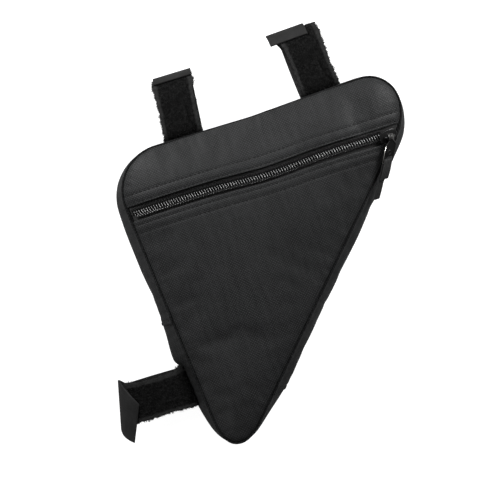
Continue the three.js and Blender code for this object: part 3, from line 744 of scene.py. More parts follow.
def build_body():
    bm = trimmed_grid((WINDOW_TOP, WINDOW_BOTTOM))
    panel = bm.faces.layers.int.new("panel")
    front_verts = list(bm.verts)
    front_rim = {v for v in front_verts if v.is_boundary}
    back = bmesh.ops.duplicate(bm, geom=everything(bm))["geom"]
    back_verts, back_faces = only(BMVert, back), only(BMFace, back)
    for face in back_faces:
        face[panel] = BACK
    bmesh.ops.reverse_faces(bm, faces=back_faces)
    front_points, back_points = places(front_verts), places(back_verts)
    front_heights = RIM_Z + front_rise(front_points, ask_seam(front_points)[0])
    back_heights = BACK_RIM - back_fall(ask_seam(back_points)[0])
    for verts, heights in ((front_verts, front_heights), (back_verts, back_heights)):
        for v, height in zip(verts, heights, strict=True):
            v.co.z = height
    row = [e for e in bm.edges if e.is_boundary and e.verts[0] in front_rim]
    for level in (*np.linspace(GUSSET_TOP, GUSSET_BOTTOM, GUSSET_ROWS), BACK_RIM):
        verts, row, faces = extruded(bm, row)
        for face in faces:
            face[panel] = STRIP
        for v in verts:
            v.co.z = level
    bmesh.ops.remove_doubles(bm, verts=[v for v in bm.verts if v.is_boundary], dist=0.05)
    low, high = GUSSET_BOTTOM - 0.01, GUSSET_TOP + 0.01
    gusset = [
        v for v in bm.verts
        if low <= v.co.z <= high and all(f[panel] == STRIP for f in v.link_faces)
    ]
    _, out, bulge, _ = ask_seam(places(gusset))
    push(gusset, out, bulge * (1 - gusset_share(places(gusset)) ** 2))
    for v, drop in zip(bm.verts, top_sag(places(bm.verts)), strict=True):
        v.co.y -= drop
    return bm


body = build_body()
print("body:", len(body.verts), "vertices,", len(body.faces), "faces")
print("open edges:", sum(e.is_boundary for e in body.edges))

# %% [markdown]
# Real cloth between two seams billows a little and puckers beside its stitches. Blender's
# Cloth does that here: the seams are pinned, the cloth is made very slightly larger than its
# pattern, and air pressure fills the bag. The result moves each point by a few millimetres at
# most, so the bag keeps its size, and the part that rests on the floor stays on it.

# %% Simulate the cloth
SLACK = 0.004
MOST_MOVE = 2.6
FRAMES = 20
CLOTH = {
    "vertex_group_mass": "seams", "quality": 7, "mass": 0.25, "tension_stiffness": 25,
    "compression_stiffness": 18, "shear_stiffness": 8, "bending_stiffness": 0.35, "air_damping": 2,
    "shrink_min": -SLACK, "use_pressure": True, "uniform_pressure_force": 3.0,
}


def settle(bm):
    """Where the cloth's points come to rest, each held near its start."""
    start = places(bm.verts)
    seams = (GUSSET_TOP, GUSSET_BOTTOM, RIM_Z, BACK_RIM)
    pinned = [v.index for v in bm.verts if any(abs(v.co.z - height) < 0.02 for height in seams)]
    dummy = loose_object("cloth_in_simulation", bm)
    dummy.vertex_groups.new(name="seams").add(pinned, 1.0, "REPLACE")
    cloth = dummy.modifiers.new("cloth", "CLOTH")
    for key, value in CLOTH.items():
        setattr(cloth.settings, key, value)
    cloth.settings.effector_weights.gravity = 0
    cloth.collision_settings.use_collision = False
    cloth.collision_settings.use_self_collision = False
    cloth.point_cache.frame_start, cloth.point_cache.frame_end = 1, FRAMES
    scene = bpy.context.scene
    for step in range(1, FRAMES + 1):
        scene.frame_set(step)
    shape = dummy.evaluated_get(bpy.context.evaluated_depsgraph_get())
    move = places(shape.data.vertices) / MM - start
    scene.frame_set(1)
    bpy.data.objects.remove(dummy)
    length = np.linalg.norm(move, axis=1)
    kept = MOST_MOVE * np.tanh(length / MOST_MOVE)
    print("cloth moved", length.mean().round(2), "mm on average,", length.max().round(2), "at most")
    return start + move * (kept / np.maximum(length, 1e-9))[:, None]


body.verts.index_update()
settled = settle(body)
settled[:, 2] = np.clip(settled[:, 2], 0, None)
for v, place in zip(body.verts, settled, strict=True):
    v.co = place

# %% [markdown]
# The settled bag is now taken apart into the pieces that it is sewn from: two front panels,
# two gusset strips and the back. Each one is a copy of the body with the other faces deleted.
# It is subdivided until a face is under a millimetre wide, its rim is rolled in towards the
# seam, and rows of stitches pull fine channels into it.

# %% Take the body apart
SEAT_JOIN_Y, APEX_JOIN_Y = TOP_Y - 109.0, TOP_Y - 171.0
# The height of each join and the side of the bag that it is on
GUSSET_JOINS = ((SEAT_JOIN_Y, -1), (APEX_JOIN_Y, 1))


def side_of(points):
    return ask_seam(points)[1][:, 0]


def cut_joins(bm):
    """Cuts the gusset across at its two joins."""
    panel = bm.faces.layers.int["panel"]
    for height, sign in GUSSET_JOINS:
        gusset = [f for f in bm.faces if f[panel] == STRIP]
        sides = side_of([f.calc_center_median() for f in gusset])
        faces = [f for f, side in zip(gusset, sides, strict=True) if side * sign > 0]
        verts = dict.fromkeys(v for f in faces for v in f.verts)
        edges = dict.fromkeys(e for f in faces for e in f.edges)
        bmesh.ops.bisect_plane(
            bm, geom=[*verts, *edges, *faces], dist=0.05, plane_co=(0, height, 0), plane_no=(0, 1, 0)
        )


cut_joins(body)


def panel_of(face_kind, keep):
    """A copy of the body with only the faces of one kind that pass a test of place."""
    bm = body.copy()
    panel = bm.faces.layers.int["panel"]
    centres = np.array([f.calc_center_median() for f in bm.faces])
    sides = side_of(centres)
    gone = [
        f for f, centre, side in zip(bm.faces, centres, sides, strict=True)
        if f[panel] != face_kind or not keep(centre, side)
    ]
    bmesh.ops.delete(bm, geom=gone, context="FACES")
    return bm


def is_low(centre, side):
    return centre[1] < (SEAT_JOIN_Y if side < 0 else APEX_JOIN_Y)


raw_panels = {
    "front_cloth_upper": panel_of(FRONT, lambda centre, side: centre[1] > WINDOW_TOP),
    "front_cloth_lower": panel_of(FRONT, lambda centre, side: centre[1] < WINDOW_BOTTOM),
    "gusset_cloth_upper": panel_of(STRIP, lambda centre, side: not is_low(centre, side)),
    "gusset_cloth_lower": panel_of(STRIP, lambda centre, side: is_low(centre, side)),
    "back_cloth": panel_of(BACK, lambda centre, side: True),
}
for name, bm in raw_panels.items():
    print(name, len(bm.faces), "faces before subdivision")


def refined(name, bm, levels=2):
    smooth = {"levels": levels, "render_levels": levels, "boundary_smooth": "PRESERVE_CORNERS"}
    return with_modifiers(loose_object(name, bm), ("SUBSURF", smooth))


# %% [markdown]
# The rim of each panel is turned in and sewn to the gusset's rim, so a narrow groove runs
# round the bag. A quarter round does it: the last 1.4 mm of the front dips, and the last
# 1.4 mm of the gusset leans in. Seams also gather the cloth, so small puckers run in from
# them and die away within a centimetre. The lower strap lifts the gusset beside it, and the
# apex is pulled in.

# %% Rims, puckers and stitch channels
ROLL = 1.4
CLOTH_WALL = 1.1
UPPER_ROWS = (WINDOW_TOP + 1.5, WINDOW_TOP + 7.0)
LOWER_ROWS = (WINDOW_BOTTOM - 2.6, WINDOW_BOTTOM - 7.6)
CHANNEL_DEEP, CHANNEL_WIDE = 0.36, 0.75
HEM_WIDE, HEM_CURL = 4.8, 0.9
STRAP_PINCH_Y, STRAP_LIFT, LIFT_ABOVE, LIFT_BELOW = -38.0, 2.6, 16.0, 4.0
HELD_FROM_Y, HELD_OVER, HELD_IN = -68.0, 40.0, 3.6


def pucker(along, distance, reach, seed):
    """Small gathers beside a seam, strongest 3 mm from it."""
    waves = np.array([
        noise.noise(Vector((s * 0.16, seed, 0))) + 0.6 * noise.noise(Vector((s * 0.37, seed + 5, d * 0.05)))
        for s, d in zip(along, distance, strict=True)
    ])
    return waves * (distance / 3) * np.exp(1 - distance / 3) * np.exp(-distance / reach)


def slow_folds(points, seed):
    def wave(x, y, offset):
        return np.array([noise.noise(Vector((p[0] * x, p[1] * y, seed + offset))) for p in points])

    return wave(0.021, 0.03, 0) + 0.45 * wave(0.06, 0.05, 3)


def quarter_round(turned):
    """0 where the cloth is flat, 1 at the end of its turn."""
    return 1 - np.sqrt(np.clip(1 - turned**2, 0, 1))


def seam_rim(bm):
    """The open edges that lie on the seam."""
    edges = [e for e in bm.edges if e.is_boundary]
    away = ask_seam([v.co for e in edges for v in e.verts])[0].reshape(-1, 2).max(1)
    return [e for e, furthest in zip(edges, away, strict=True) if furthest < 1.2]


def lip(bm, edges, steps):
    """Turns an open rim in and down, a step at a time."""
    for inwards, drop in steps:
        verts, edges, _ = extruded(bm, edges)
        push(verts, ask_seam(places(verts))[1], -inwards)
        for v in verts:
            v.co.z -= drop


def shape_front(bm, rows, fold, puff):
    """Rounds the rim, gathers the cloth, sinks the stitch rows and folds the edge at the zip."""
    points = places(bm.verts)
    distance, out, _, along = ask_seam(points)
    turned = np.clip(1 - distance / ROLL, 0, 1)
    rise = 1 - np.exp(-distance / 1.2) - 0.5 * quarter_round(turned)
    rise += 0.5 * pucker(along, distance, 9.0, 2.0)
    rise += 0.38 * slow_folds(points, 7.0) * np.clip(distance / 18, 0, 1)
    for row in rows:
        rise -= CHANNEL_DEEP * bell(points[:, 1] - row, CHANNEL_WIDE)
    from_fold = np.abs(points[:, 1] - fold)
    rise += puff * bell(from_fold - HEM_WIDE, 2.2) - (0.2 + puff) * bell(from_fold, HEM_CURL)
    bow = edge_bow(points[:, 0], points[:, 1])
    for v, up, shift in zip(bm.verts, rise, bow, strict=True):
        v.co.z += up
        v.co.y += shift
    push(bm.verts, out, -0.5 * turned**2)
    lip(bm, seam_rim(bm), ((0.12, 0.3), (0.14, 0.5), (0.1, 0.9)))


def shape_gusset(bm, joins):
    points = places(bm.verts)
    _, out, _, along = ask_seam(points)
    y, z = points[:, 1], points[:, 2]
    from_top = GUSSET_TOP - z
    from_rim = np.minimum(from_top, z - GUSSET_BOTTOM)
    turned = np.clip(1 - from_rim / ROLL, 0, 1)
    crown = 0.9 * bell(from_top, 2.4)
    folds = np.array([noise.noise(Vector((s * 0.035, h * 0.05, 4.0))) for s, h in zip(along, z, strict=True)])
    amount = 0.8 * pucker(along, np.clip(from_rim, 0, None), 8.0, 11.0)
    amount += 0.8 * folds * np.clip(from_rim / 8, 0, 1)
    for height, sign in joins:
        from_join = np.abs(y - height)
        near = out[:, 0] * sign > 0
        amount += near * 0.7 * np.clip(1 - from_join / 5.0, 0, 1) ** 0.6
        amount -= near * 0.35 * bell(from_join - 2.2, 0.7)
    from_strap = y - STRAP_PINCH_Y
    lifted = STRAP_LIFT * bell(from_strap, np.where(from_strap > 0, LIFT_ABOVE, LIFT_BELOW))
    amount += lifted * (out[:, 0] < 0) * np.clip(from_rim / 12, 0, 1)
    across = gusset_share(points)
    amount -= HELD_IN * np.clip((HELD_FROM_Y - y) / HELD_OVER, 0, 1) * np.clip(1 - across**2, 0, 1)
    amount -= np.where(from_top < 5, 0.12 * turned**2, 1.1 * quarter_round(turned))
    top_rim = [e for e in bm.edges if e.is_boundary and min(v.co.z for v in e.verts) > GUSSET_TOP - 0.4]
    push(bm.verts, out, amount)
    for v, rise in zip(bm.verts, crown, strict=True):
        v.co.z += rise
    lip(bm, top_rim, ((0.16, 0.12), (0.1, 0.5), (0.05, 0.8), (1.0, 0.4)))


def shape_back(bm):
    points = places(bm.verts)
    distance, out, _, along = ask_seam(points)
    turned = np.clip(1 - distance / ROLL, 0, 1)
    rise = 0.6 * quarter_round(turned) + 0.4 * pucker(along, distance, 9.0, 21.0)
    rise -= 0.5 * (1 - np.exp(-distance / 1.0))
    for v, up in zip(bm.verts, rise, strict=True):
        v.co.z = max(v.co.z + up, 0)
    push(bm.verts, out, -0.55 * turned**2)


def write_map(bm, across, along):
    """Writes the cloth's own map, in metres, from two lengths for each vert."""
    uv = bm.loops.layers.uv.new("cloth")
    bm.verts.index_update()
    for face in bm.faces:
        for loop in face.loops:
            i = loop.vert.index
            loop[uv].uv = (across[i] * MM, along[i] * MM)


def map_flat(bm):
    points = places(bm.verts)
    write_map(bm, points[:, 0], points[:, 1])


def map_strip(bm, start, length):
    """The strip's own length and depth, so the weave runs along it."""
    points = places(bm.verts)
    along = (ask_seam(points)[3] - start) % seam_length
    write_map(bm, np.where(along > length + 20, along - seam_length, along), points[:, 2])


def thick_cloth(name, bm, finish, node):
    """Gives a cloth its wall and puts it in place of its model node."""
    bmesh.ops.recalc_face_normals(bm, faces=bm.faces)
    piece = make_piece(name, bm, finish)
    add_wall(piece, CLOTH_WALL, -1, 0.4)
    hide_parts(node)
    return piece


# %% Front, back and gusset
pieces = {}
for name, rows, fold, puff, node in (
    ("front_cloth_upper", UPPER_ROWS, WINDOW_TOP, 0.12, "front_panel_upper"),
    ("front_cloth_lower", LOWER_ROWS, WINDOW_BOTTOM, 0.08, "front_panel_lower"),
):
    bm = refined(name, raw_panels[name])
    shape_front(bm, rows, fold, puff)
    map_flat(bm)
    pieces[name] = thick_cloth(name, bm, SHELL, node)

seat_along = ask_seam([(-83.2, SEAT_JOIN_Y)])[3][0]
apex_along = ask_seam([(-37.5, APEX_JOIN_Y)])[3][0]
upper_length = (apex_along - seat_along) % seam_length
for name, joins, start, length, node in (
    ("gusset_cloth_upper", GUSSET_JOINS, seat_along, upper_length, "gusset_upper"),
    ("gusset_cloth_lower", (), apex_along, seam_length - upper_length, "gusset_lower"),
):
    bm = refined(name, raw_panels[name])
    shape_gusset(bm, joins)
    map_strip(bm, start, length)
    pieces[name] = thick_cloth(name, bm, GUSSET, node)

bm = refined("back_cloth", raw_panels["back_cloth"])
shape_back(bm)
map_flat(bm)
pieces["back_cloth"] = thick_cloth("back_cloth", bm, SHELL, "back_panel")
body.free()

# %% [markdown]
# Two rows of stitches hold each zip tape to its panel: one close to the folded edge and one
# further in, over the fold's inner end. One stitch is a small stretched ball, and its copies
# are laid end to end on the cloth. Each copy is dropped on the cloth from above, so the rows
# follow every pucker.

# %% Stitches
STITCH = 2.1
STITCH_PITCH = 2.75
STITCH_SINK = 0.02
ROW_MARGIN = 2.5
CAST_FROM, BESIDE_JOIN = 14.0, 2.2


def surface_of(piece):
    graph = bpy.context.evaluated_depsgraph_get()
    return BVHTree.FromObject(piece.evaluated_get(graph), graph)


def add_stitch(bm, middle, along, up, length=STITCH, width=0.42, height=0.3):
    side = up.cross(along).normalized()
    up = along.cross(side).normalized()
    turn = Matrix((along, side, up)).transposed().to_4x4()
    size = Matrix.Diagonal((length / 2, width, height, 1))
    bmesh.ops.create_icosphere(bm, subdivisions=1, radius=1, matrix=Matrix.Translation(middle) @ turn @ size)


def stitch_row(bm, surface, start, end, ray, bowed=False):
    """Stitches from start to end, each cast on to the cloth along ray."""
    start, end, ray = Vector(start), Vector(end), Vector(ray).normalized()
    count = max(2, round((end - start).length / STITCH_PITCH))
    hits = []
    for i in range(count + 1):
        origin = start.lerp(end, i / count)
        if bowed:
            origin.y += float(edge_bow(origin.x, origin.y))
        origin *= MM
        place, normal, _, _ = surface.ray_cast(origin - ray * 0.03, ray)
        if place is not None:
            hits.append((place / MM, normal))
    for (a, normal), (b, _) in zip(hits, hits[1:], strict=False):
        if (b - a).length < 2 * STITCH_PITCH:
            add_stitch(bm, (a + b) / 2 - normal * STITCH_SINK, (b - a).normalized(), normal)


def zip_line_ends(height, margin):
    """Where a line of constant height meets the seam on both sides."""
    xs = [
        a[0] + (b[0] - a[0]) * (height - a[1]) / (b[1] - a[1])
        for a, b in ring_sides if (a[1] - height) * (b[1] - height) < 0
    ]
    return min(xs) + margin, max(xs) - margin


for name, rows in (("front_cloth_upper", UPPER_ROWS), ("front_cloth_lower", LOWER_ROWS)):
    bm = bmesh.new()
    surface = surface_of(pieces[name])
    for row in rows:
        low, high = zip_line_ends(row, ROW_MARGIN)
        stitch_row(bm, surface, (low, row, 60), (high, row, 60), (0, 0, -1), bowed=True)
    thread = make_piece(name.replace("cloth", "topstitch"), bm, THREAD)

bm = bmesh.new()
surface = surface_of(pieces["gusset_cloth_upper"])
for height, sign in GUSSET_JOINS:
    foot = np.array([min(zip_line_ends(height, 0), key=lambda x: -x * sign), height])
    _, out, _, _ = ask_seam([foot])
    along = Vector((-out[0][1] * sign, out[0][0] * sign, 0))
    base = Vector((*foot, 0)) + Vector((*out[0], 0)) * CAST_FROM + along * BESIDE_JOIN
    stitch_row(
        bm, surface, base + Vector((0, 0, GUSSET_BOTTOM + 2)), base + Vector((0, 0, GUSSET_TOP - 2)),
        (-out[0][0], -out[0][1], 0),
    )
make_piece("gusset_join_stitches", bm, THREAD)

# %% [markdown]
# A coil zip is two long springs of nylon, one sewn to each tape. The turns of one lie between the turns of
# the other, which is what closes it. Each spring here is one curve that winds along the zip, flattened, with
# its turns leaning along the zip as they cross it. The upper spring lies lower and is duller, and its nylon
# is painted darker as painted shade in the gaps. The lower spring's nylon is painted lighter as painted light
# on its strokes, so its strokes stand apart. A bevelled curve is the quickest way to make such a spring, and
# it becomes a mesh at the end.

# %% Zip coil
TOOTH_PITCH = 1.65
TURN_STEPS = 12
WIRE_RADIUS = 0.4
LEAN = 0.22
UNDER_DEPTH, WIRE_MIDDLE = 0.64, 1.05
COIL_Y = ZIP_Y + 0.5
ZIP_START, ZIP_END, ZIP_FLOOR = -86.3, 77.2, 42.8
TURNS = int((ZIP_END - ZIP_START) / TOOTH_PITCH)

foot_x = np.linspace(ZIP_START - 4, ZIP_END + 6, 90)
foot_points = np.stack([foot_x, np.full_like(foot_x, ZIP_Y)], 1)
foot_z = ZIP_FLOOR + front_rise(foot_points, ask_seam(foot_points)[0])
for node in ("zip_tape_upper", "zip_tape_lower"):
    frame["nodes"][node].data.materials.clear()
    frame["nodes"][node].data.materials.append(ZIP_TAPE)


def on_zip(x, across, up):
    """A place beside the coil's middle line and above the zip's foot."""
    return Vector((x, COIL_Y + float(zip_bow(x)) + across, np.interp(x, foot_x, foot_z) + up))


def coil_points(side, shift, heel, head, top):
    """A flattened spring: over the top from heel to head, back under, and on at its heel."""
    points = []
    for i in range(TURNS * TURN_STEPS):
        turn, phase = divmod(i / TURN_STEPS, 1)
        angle = 2 * math.pi * phase
        onward = float(np.clip((phase - 0.62) / 0.38, 0, 1)) ** 2
        x = ZIP_START + (turn + shift + onward - LEAN * side * math.cos(angle)) * TOOTH_PITCH
        reach = (heel + head) / 2 + (heel - head) / 2 * math.cos(angle)
        up = WIRE_MIDDLE + (top if angle < math.pi else UNDER_DEPTH) * math.sin(angle)
        points.append(on_zip(x, side * reach, up))
    return points


def tube(name, lines, radius, sides, closed=False):
    """A round-section curve through each line of points, as a bmesh in millimetres."""
    data = bpy.data.curves.new(name, "CURVE")
    data.dimensions = "3D"
    data.bevel_depth = radius * MM
    data.bevel_resolution = sides
    data.use_fill_caps = True
    for line in lines:
        spline = data.splines.new("POLY")
        spline.points.add(len(line) - 1)
        for point, place in zip(spline.points, line, strict=True):
            point.co = (*(Vector(place) * MM), 1)
        spline.use_cyclic_u = closed
    made = bpy.data.objects.new(name, data)
    bpy.context.scene.collection.objects.link(made)
    bm = with_modifiers(made)
    bmesh.ops.remove_doubles(bm, verts=bm.verts, dist=0.002)
    bmesh.ops.recalc_face_normals(bm, faces=bm.faces)
    return bm


# The lower spring gets the lighter nylon (painted light), and the upper spring gets the darker nylon (painted
# shade).
for name, points, finish in (
    ("zip_coil_spring_upper", coil_points(1, shift=0, heel=2.85, head=-0.6, top=0.12), COIL_PAINTED_SHADE),
    ("zip_coil_spring_lower", coil_points(-1, shift=0.68, heel=2.75, head=-1.5, top=0.75), COIL_PAINTED_LIT),
):
    spring = make_piece(name, tube("spring", [points], WIRE_RADIUS, 1), finish)
    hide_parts("zip_coil")

bm = bmesh.new()
for side, start, across, up in ((1, 0.25, 2.4, 1.55), (-1, 0.75, -3.05, 0.85)):
    way = Vector((1, 0.25 * side, 0)).normalized()
    facing_up = Vector((0, 0.35 * side, 1)).normalized()
    for i in range(TURNS - 1):
        place = on_zip(ZIP_START + (i + start) * TOOTH_PITCH, across, up)
        add_stitch(bm, place, way, facing_up, 1.5, 0.2, 0.16)
chain = make_piece("coil_chain_stitches", bm, COIL_THREAD)

# %% [markdown]
# The slider is a small casting: a top plate with rounded edges, turned-down flanges, a plate
# under the tape, and a bent bar that holds the pull. It is built in its own frame, with x
# along the zip, and then set on the zip, tilted as the cloth falls away there.

# %% Slider
SLIDER_FRAME = Matrix((
    (0.96418, 0.06391, 0.25742, 79.15019),
    (0, 0.97054, -0.24094, 56.7),
    (-0.26524, 0.23231, 0.93578, 45.75349),
    (0, 0, 0, 1),
))
PLATE_Z, PLATE = 3.1, 1.0
SLIDER_HALF, SLIDER_SIDE = 5.75, 4.3
BRIDGE_RADIUS = 0.78


def slab(bm, rim, z, thickness):
    """A flat plate from its outline."""
    face = bm.faces.new([bm.verts.new((x, y, z)) for x, y in rim])
    made = bmesh.ops.extrude_face_region(bm, geom=[face])["geom"]
    bmesh.ops.translate(bm, vec=(0, 0, thickness), verts=only(BMVert, made))


def softened(bm, width, segments=2, angle=40):
    """Rounds the edges that are sharper than an angle."""
    bmesh.ops.recalc_face_normals(bm, faces=bm.faces)
    sharp = [e for e in bm.edges if e.is_manifold and e.calc_face_angle(0) > math.radians(angle)]
    bmesh.ops.bevel(
        bm, geom=sharp, offset=width, offset_type="OFFSET", segments=segments, profile=0.5, affect="EDGES",
        material=-1, clamp_overlap=True,
    )
    return bm


def slider_rim():
    """The slider's plan: narrow over the closed coil, wide at its nose."""
    half = [
        (-SLIDER_HALF, 3.0), (-2.0, 3.9), (0, SLIDER_SIDE), (3.0, SLIDER_SIDE), (4.7, 3.7), (5.5, 2.4),
        (SLIDER_HALF, 0.9),
    ]
    return half + [(x, -y) for x, y in reversed(half)]


bm = bmesh.new()
slab(bm, slider_rim(), PLATE_Z, PLATE)
softened(bm, 0.38, 3)
parts = bmesh.new()
for side in (1, -1):
    flange = [(-1.0, side * 3.35), (3.2, side * 3.45), (3.6, side * 4.15), (-0.2, side * 4.22)]
    slab(parts, flange if side > 0 else flange[::-1], PLATE_Z - 1.45, 1.9)
slab(parts, [(-SLIDER_HALF, -3.0), (2.4, -3.7), (2.4, 3.7), (-SLIDER_HALF, 3.0)], -3.2, 0.9)
slab(parts, [(0.2, -0.6), (2.1, -0.6), (2.1, 0.6), (0.2, 0.6)], -2.6, 6.0)
softened(parts, 0.2, 2)
bridge_half = [(2.1, 0, 6.6), (2.7, 0, 6.3), (2.95, 0, 5.6), (2.95, 0, 3.7)]
bridge_line = [(-x, y, z) for x, y, z in reversed(bridge_half)] + bridge_half
join_into(bm, parts, tube("bridge", [bridge_line], BRIDGE_RADIUS, 3))
bmesh.ops.transform(bm, matrix=SLIDER_FRAME, verts=bm.verts)
slider = make_piece("slider_casting", bm, METAL)
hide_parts("zip_slider")

# %% [markdown]
# The pull is a stamped metal tab. Its neck curls round the slider's bar, its rim stands up a
# little round a sunk field, and a small eyelet sits above the slot that the ribbon goes
# through. The frame of the pull has x along the bar and y towards its free end.

# %% Pull tab
PULL_FRAME = Matrix((
    (-0.96418, -0.08196, 0.25226, 80.8492),
    (0, -0.95106, -0.30902, 55.1098),
    (0.26524, -0.29795, 0.91699, 51.92963),
    (0, 0, 0, 1),
))
TAB_NECK, TAB_LENGTH, TAB_SIDE, NECK_SIDE, TAB_HALF = 3.2, 15.5, 3.8, 1.7, 0.45
SLOT_LOW, SLOT_HIGH, SLOT_SIDE = 11.9, 14.3, 3.05
EYELET_Y, EYELET_RADIUS, KNUCKLE_RADIUS = 9.4, 1.15, 1.9
SKEW = math.tan(math.radians(24))


def skewed(x, y):
    return (x + max(y - TAB_NECK, 0) * SKEW, y)


def skewed_line(z, points):
    return [(*skewed(x, y), z) for x, y in points]


def tab_plate():
    """The tab's plate, with the ribbon's slot in it."""
    bm = bmesh.new()
    right = [
        (NECK_SIDE, 1.2), (NECK_SIDE, TAB_NECK - 0.4), (TAB_SIDE, TAB_NECK + 1.6), (TAB_SIDE, SLOT_LOW),
        (TAB_SIDE, TAB_LENGTH - 0.9), (TAB_SIDE - 0.9, TAB_LENGTH),
    ]
    rim = [(-NECK_SIDE, 1.2), *right, *[(-x, y) for x, y in reversed(right[1:])]]
    slot = [(-SLOT_SIDE, SLOT_LOW), (SLOT_SIDE, SLOT_LOW), (SLOT_SIDE, SLOT_HIGH), (-SLOT_SIDE, SLOT_HIGH)]
    edges = []
    for loop in (rim, slot):
        verts = [bm.verts.new(place) for place in skewed_line(-TAB_HALF, loop)]
        edges += [bm.edges.new(pair) for pair in zip(verts, verts[1:] + verts[:1], strict=True)]
    bmesh.ops.triangle_fill(bm, edges=edges, use_beauty=True, use_dissolve=False)
    made = bmesh.ops.extrude_face_region(bm, geom=bm.faces[:])["geom"]
    bmesh.ops.translate(bm, vec=(0, 0, 2 * TAB_HALF), verts=only(BMVert, made))
    return softened(bm, 0.22, 2)


def knuckle():
    """The tab's neck, curled round the bar."""
    bm = bmesh.new()
    place = Matrix.Rotation(math.pi / 2, 4, "Y") @ Matrix.Translation((0, 0, -NECK_SIDE))
    bmesh.ops.create_circle(bm, segments=20, radius=KNUCKLE_RADIUS, matrix=place)
    verts, _, _ = extruded(bm, bm.edges[:])
    bmesh.ops.translate(bm, vec=(2 * NECK_SIDE, 0, 0), verts=verts)
    bmesh.ops.recalc_face_normals(bm, faces=bm.faces)
    bmesh.ops.solidify(bm, geom=bm.faces[:], thickness=0.7)
    bmesh.ops.recalc_face_normals(bm, faces=bm.faces)
    return bm


rim_line = skewed_line(0.42, [
    (-1.5, 2.4), (-1.6, 3.2), (-3.35, 5.2), (-3.35, 11.6), (-3.35, 14.6), (-2.7, 15.05), (2.7, 15.05),
    (3.35, 14.6),
])
# The painted highlight runs along one long edge of the tab only.
painted_highlight_line = skewed_line(0.5, [(3.45, 14.0), (3.45, 9.0), (3.4, 5.0)])
eyelet_x = skewed(0, EYELET_Y)[0]
eyelet = [
    (math.cos(a) * EYELET_RADIUS + eyelet_x, EYELET_Y + math.sin(a) * EYELET_RADIUS, 0.5)
    for a in np.linspace(0, 2 * math.pi, 16, endpoint=False)
]
bm = tab_plate()
join_into(bm, tube("tab_rim", [rim_line], 0.36, 2), tube("eyelet", [eyelet], 0.3, 2, closed=True), knuckle())
bmesh.ops.transform(bm, matrix=PULL_FRAME, verts=bm.verts)
tab = make_piece("pull_tab_stamped", bm, METAL, body="pull")
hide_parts("pull_tab")

# One edge of the tab is bare bright metal: a painted highlight in the form of rubbed-off enamel.
bm = tube("painted_highlight_edge", [painted_highlight_line], 0.26, 2)
bmesh.ops.transform(bm, matrix=PULL_FRAME, verts=bm.verts)
make_piece("pull_tab_rubbed_edge", bm, BARE_METAL_PAINTED_HIGHLIGHT, body="pull")

# %% [markdown]
# Ribbon and straps are the same kind of thing: a narrow woven tape that follows a line. A row
# of points across its width is extruded step by step, and every new row is set in its place.
# The length along the line and the place in the row make the tape's own map, so the weave
# and the smooth bands along its edges follow it round every bend.


# %% A tape along a line
def tape_bmesh(rows, widths, place):
    """A row of verts over the widths for each length in rows; place says where each one goes."""
    bm = bmesh.new()
    uv = bm.loops.layers.uv.new("cloth")
    last = [bm.verts.new(place(rows[0], w)) for w in widths]
    spot = {vert: (rows[0], w) for vert, w in zip(last, widths, strict=True)}
    edges = [bm.edges.new(pair) for pair in zip(last, last[1:], strict=False)]
    for row in rows[1:]:
        fresh, edges, _ = extruded(bm, edges)
        by_old = {}
        for vert in fresh:
            for link in vert.link_edges:
                if link.other_vert(vert) in spot:
                    by_old[link.other_vert(vert)] = vert
        last = [by_old[old] for old in last]
        for vert, w in zip(last, widths, strict=True):
            vert.co = place(row, w)
            spot[vert] = (row, w)
    for face in bm.faces:
        for loop in face.loops:
            row, w = spot[loop.vert]
            loop[uv].uv = (row * MM, w * MM)
    return bm


def tape_piece(name, bm, finish, thickness, node, body="bag", edge=0.25):
    piece = make_piece(name, bm, finish, body)
    add_wall(piece, thickness, 0, edge)
    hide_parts(node)


def blend(a, b, low, high, s):
    """From a to b as s goes from low to high, and on past them."""
    return (high - s) / (high - low) * a + (s - low) / (high - low) * b


def smooth_line(points, closed=False, per_span=20):
    """A centripetal Catmull-Rom curve through points, as close-set places."""
    points = [np.array(p, float) for p in points]
    count = len(points)
    ends = range(count if closed else count - 1)
    line = []
    for i in ends:
        if closed:
            p = [points[(i + k) % count] for k in (-1, 0, 1, 2)]
        else:
            before = points[i - 1] if i else 2 * points[0] - points[1]
            after = points[i + 2] if i + 2 < count else 2 * points[-1] - points[-2]
            p = [before, points[i], points[i + 1], after]
        steps = [max(np.linalg.norm(b - a), 1e-6) ** 0.5 for a, b in zip(p, p[1:], strict=False)]
        t = np.concatenate([[0], np.cumsum(steps)])
        for s in np.linspace(t[1], t[2], per_span, endpoint=False):
            a = [blend(p[k], p[k + 1], t[k], t[k + 1], s) for k in range(3)]
            b = [blend(a[k], a[k + 1], t[k], t[k + 2], s) for k in range(2)]
            line.append(blend(b[0], b[1], t[1], t[2], s))
    line.append(line[0] if closed else points[-1])
    return np.array(line)


class Route:
    """A line that can be asked for its place and direction at a length."""

    def __init__(self, line):
        self.line = line
        self.lengths = np.concatenate([[0], np.cumsum(np.linalg.norm(np.diff(line, axis=0), axis=1))])
        self.total = self.lengths[-1]

    def at(self, length):
        return np.array([np.interp(length, self.lengths, self.line[:, k]) for k in range(self.line.shape[1])])

    def towards(self, length):
        step = self.at(min(length + 0.1, self.total)) - self.at(max(length - 0.1, 0))
        return step / max(np.linalg.norm(step), 1e-9)


# %% Pull ribbon
BEND, SLOT_MIDDLE = 1.15, 13.1
UNDER_LEG_FROM, UNDER_LEG_OVER, UNDER_LEG_NARROWER, UNDER_LEG_SHIFT = 21.0, 6.0, 0.3, 0.9
RIBBON_HALF, RIBBON_THICK = 2.8, 0.8
ribbon_route = Route(smooth_line([(SLOT_MIDDLE + y, BEND * z) for y, z in (
    (12, 1 - 0.86 / BEND), (6.6, 1.1), (3, 1), (0.3, 0.75), (-0.1, 0),
    (0.3, -0.75), (3, -1), (12, -1.25), (19.2, -1.7), (24, -2.4),
)]))


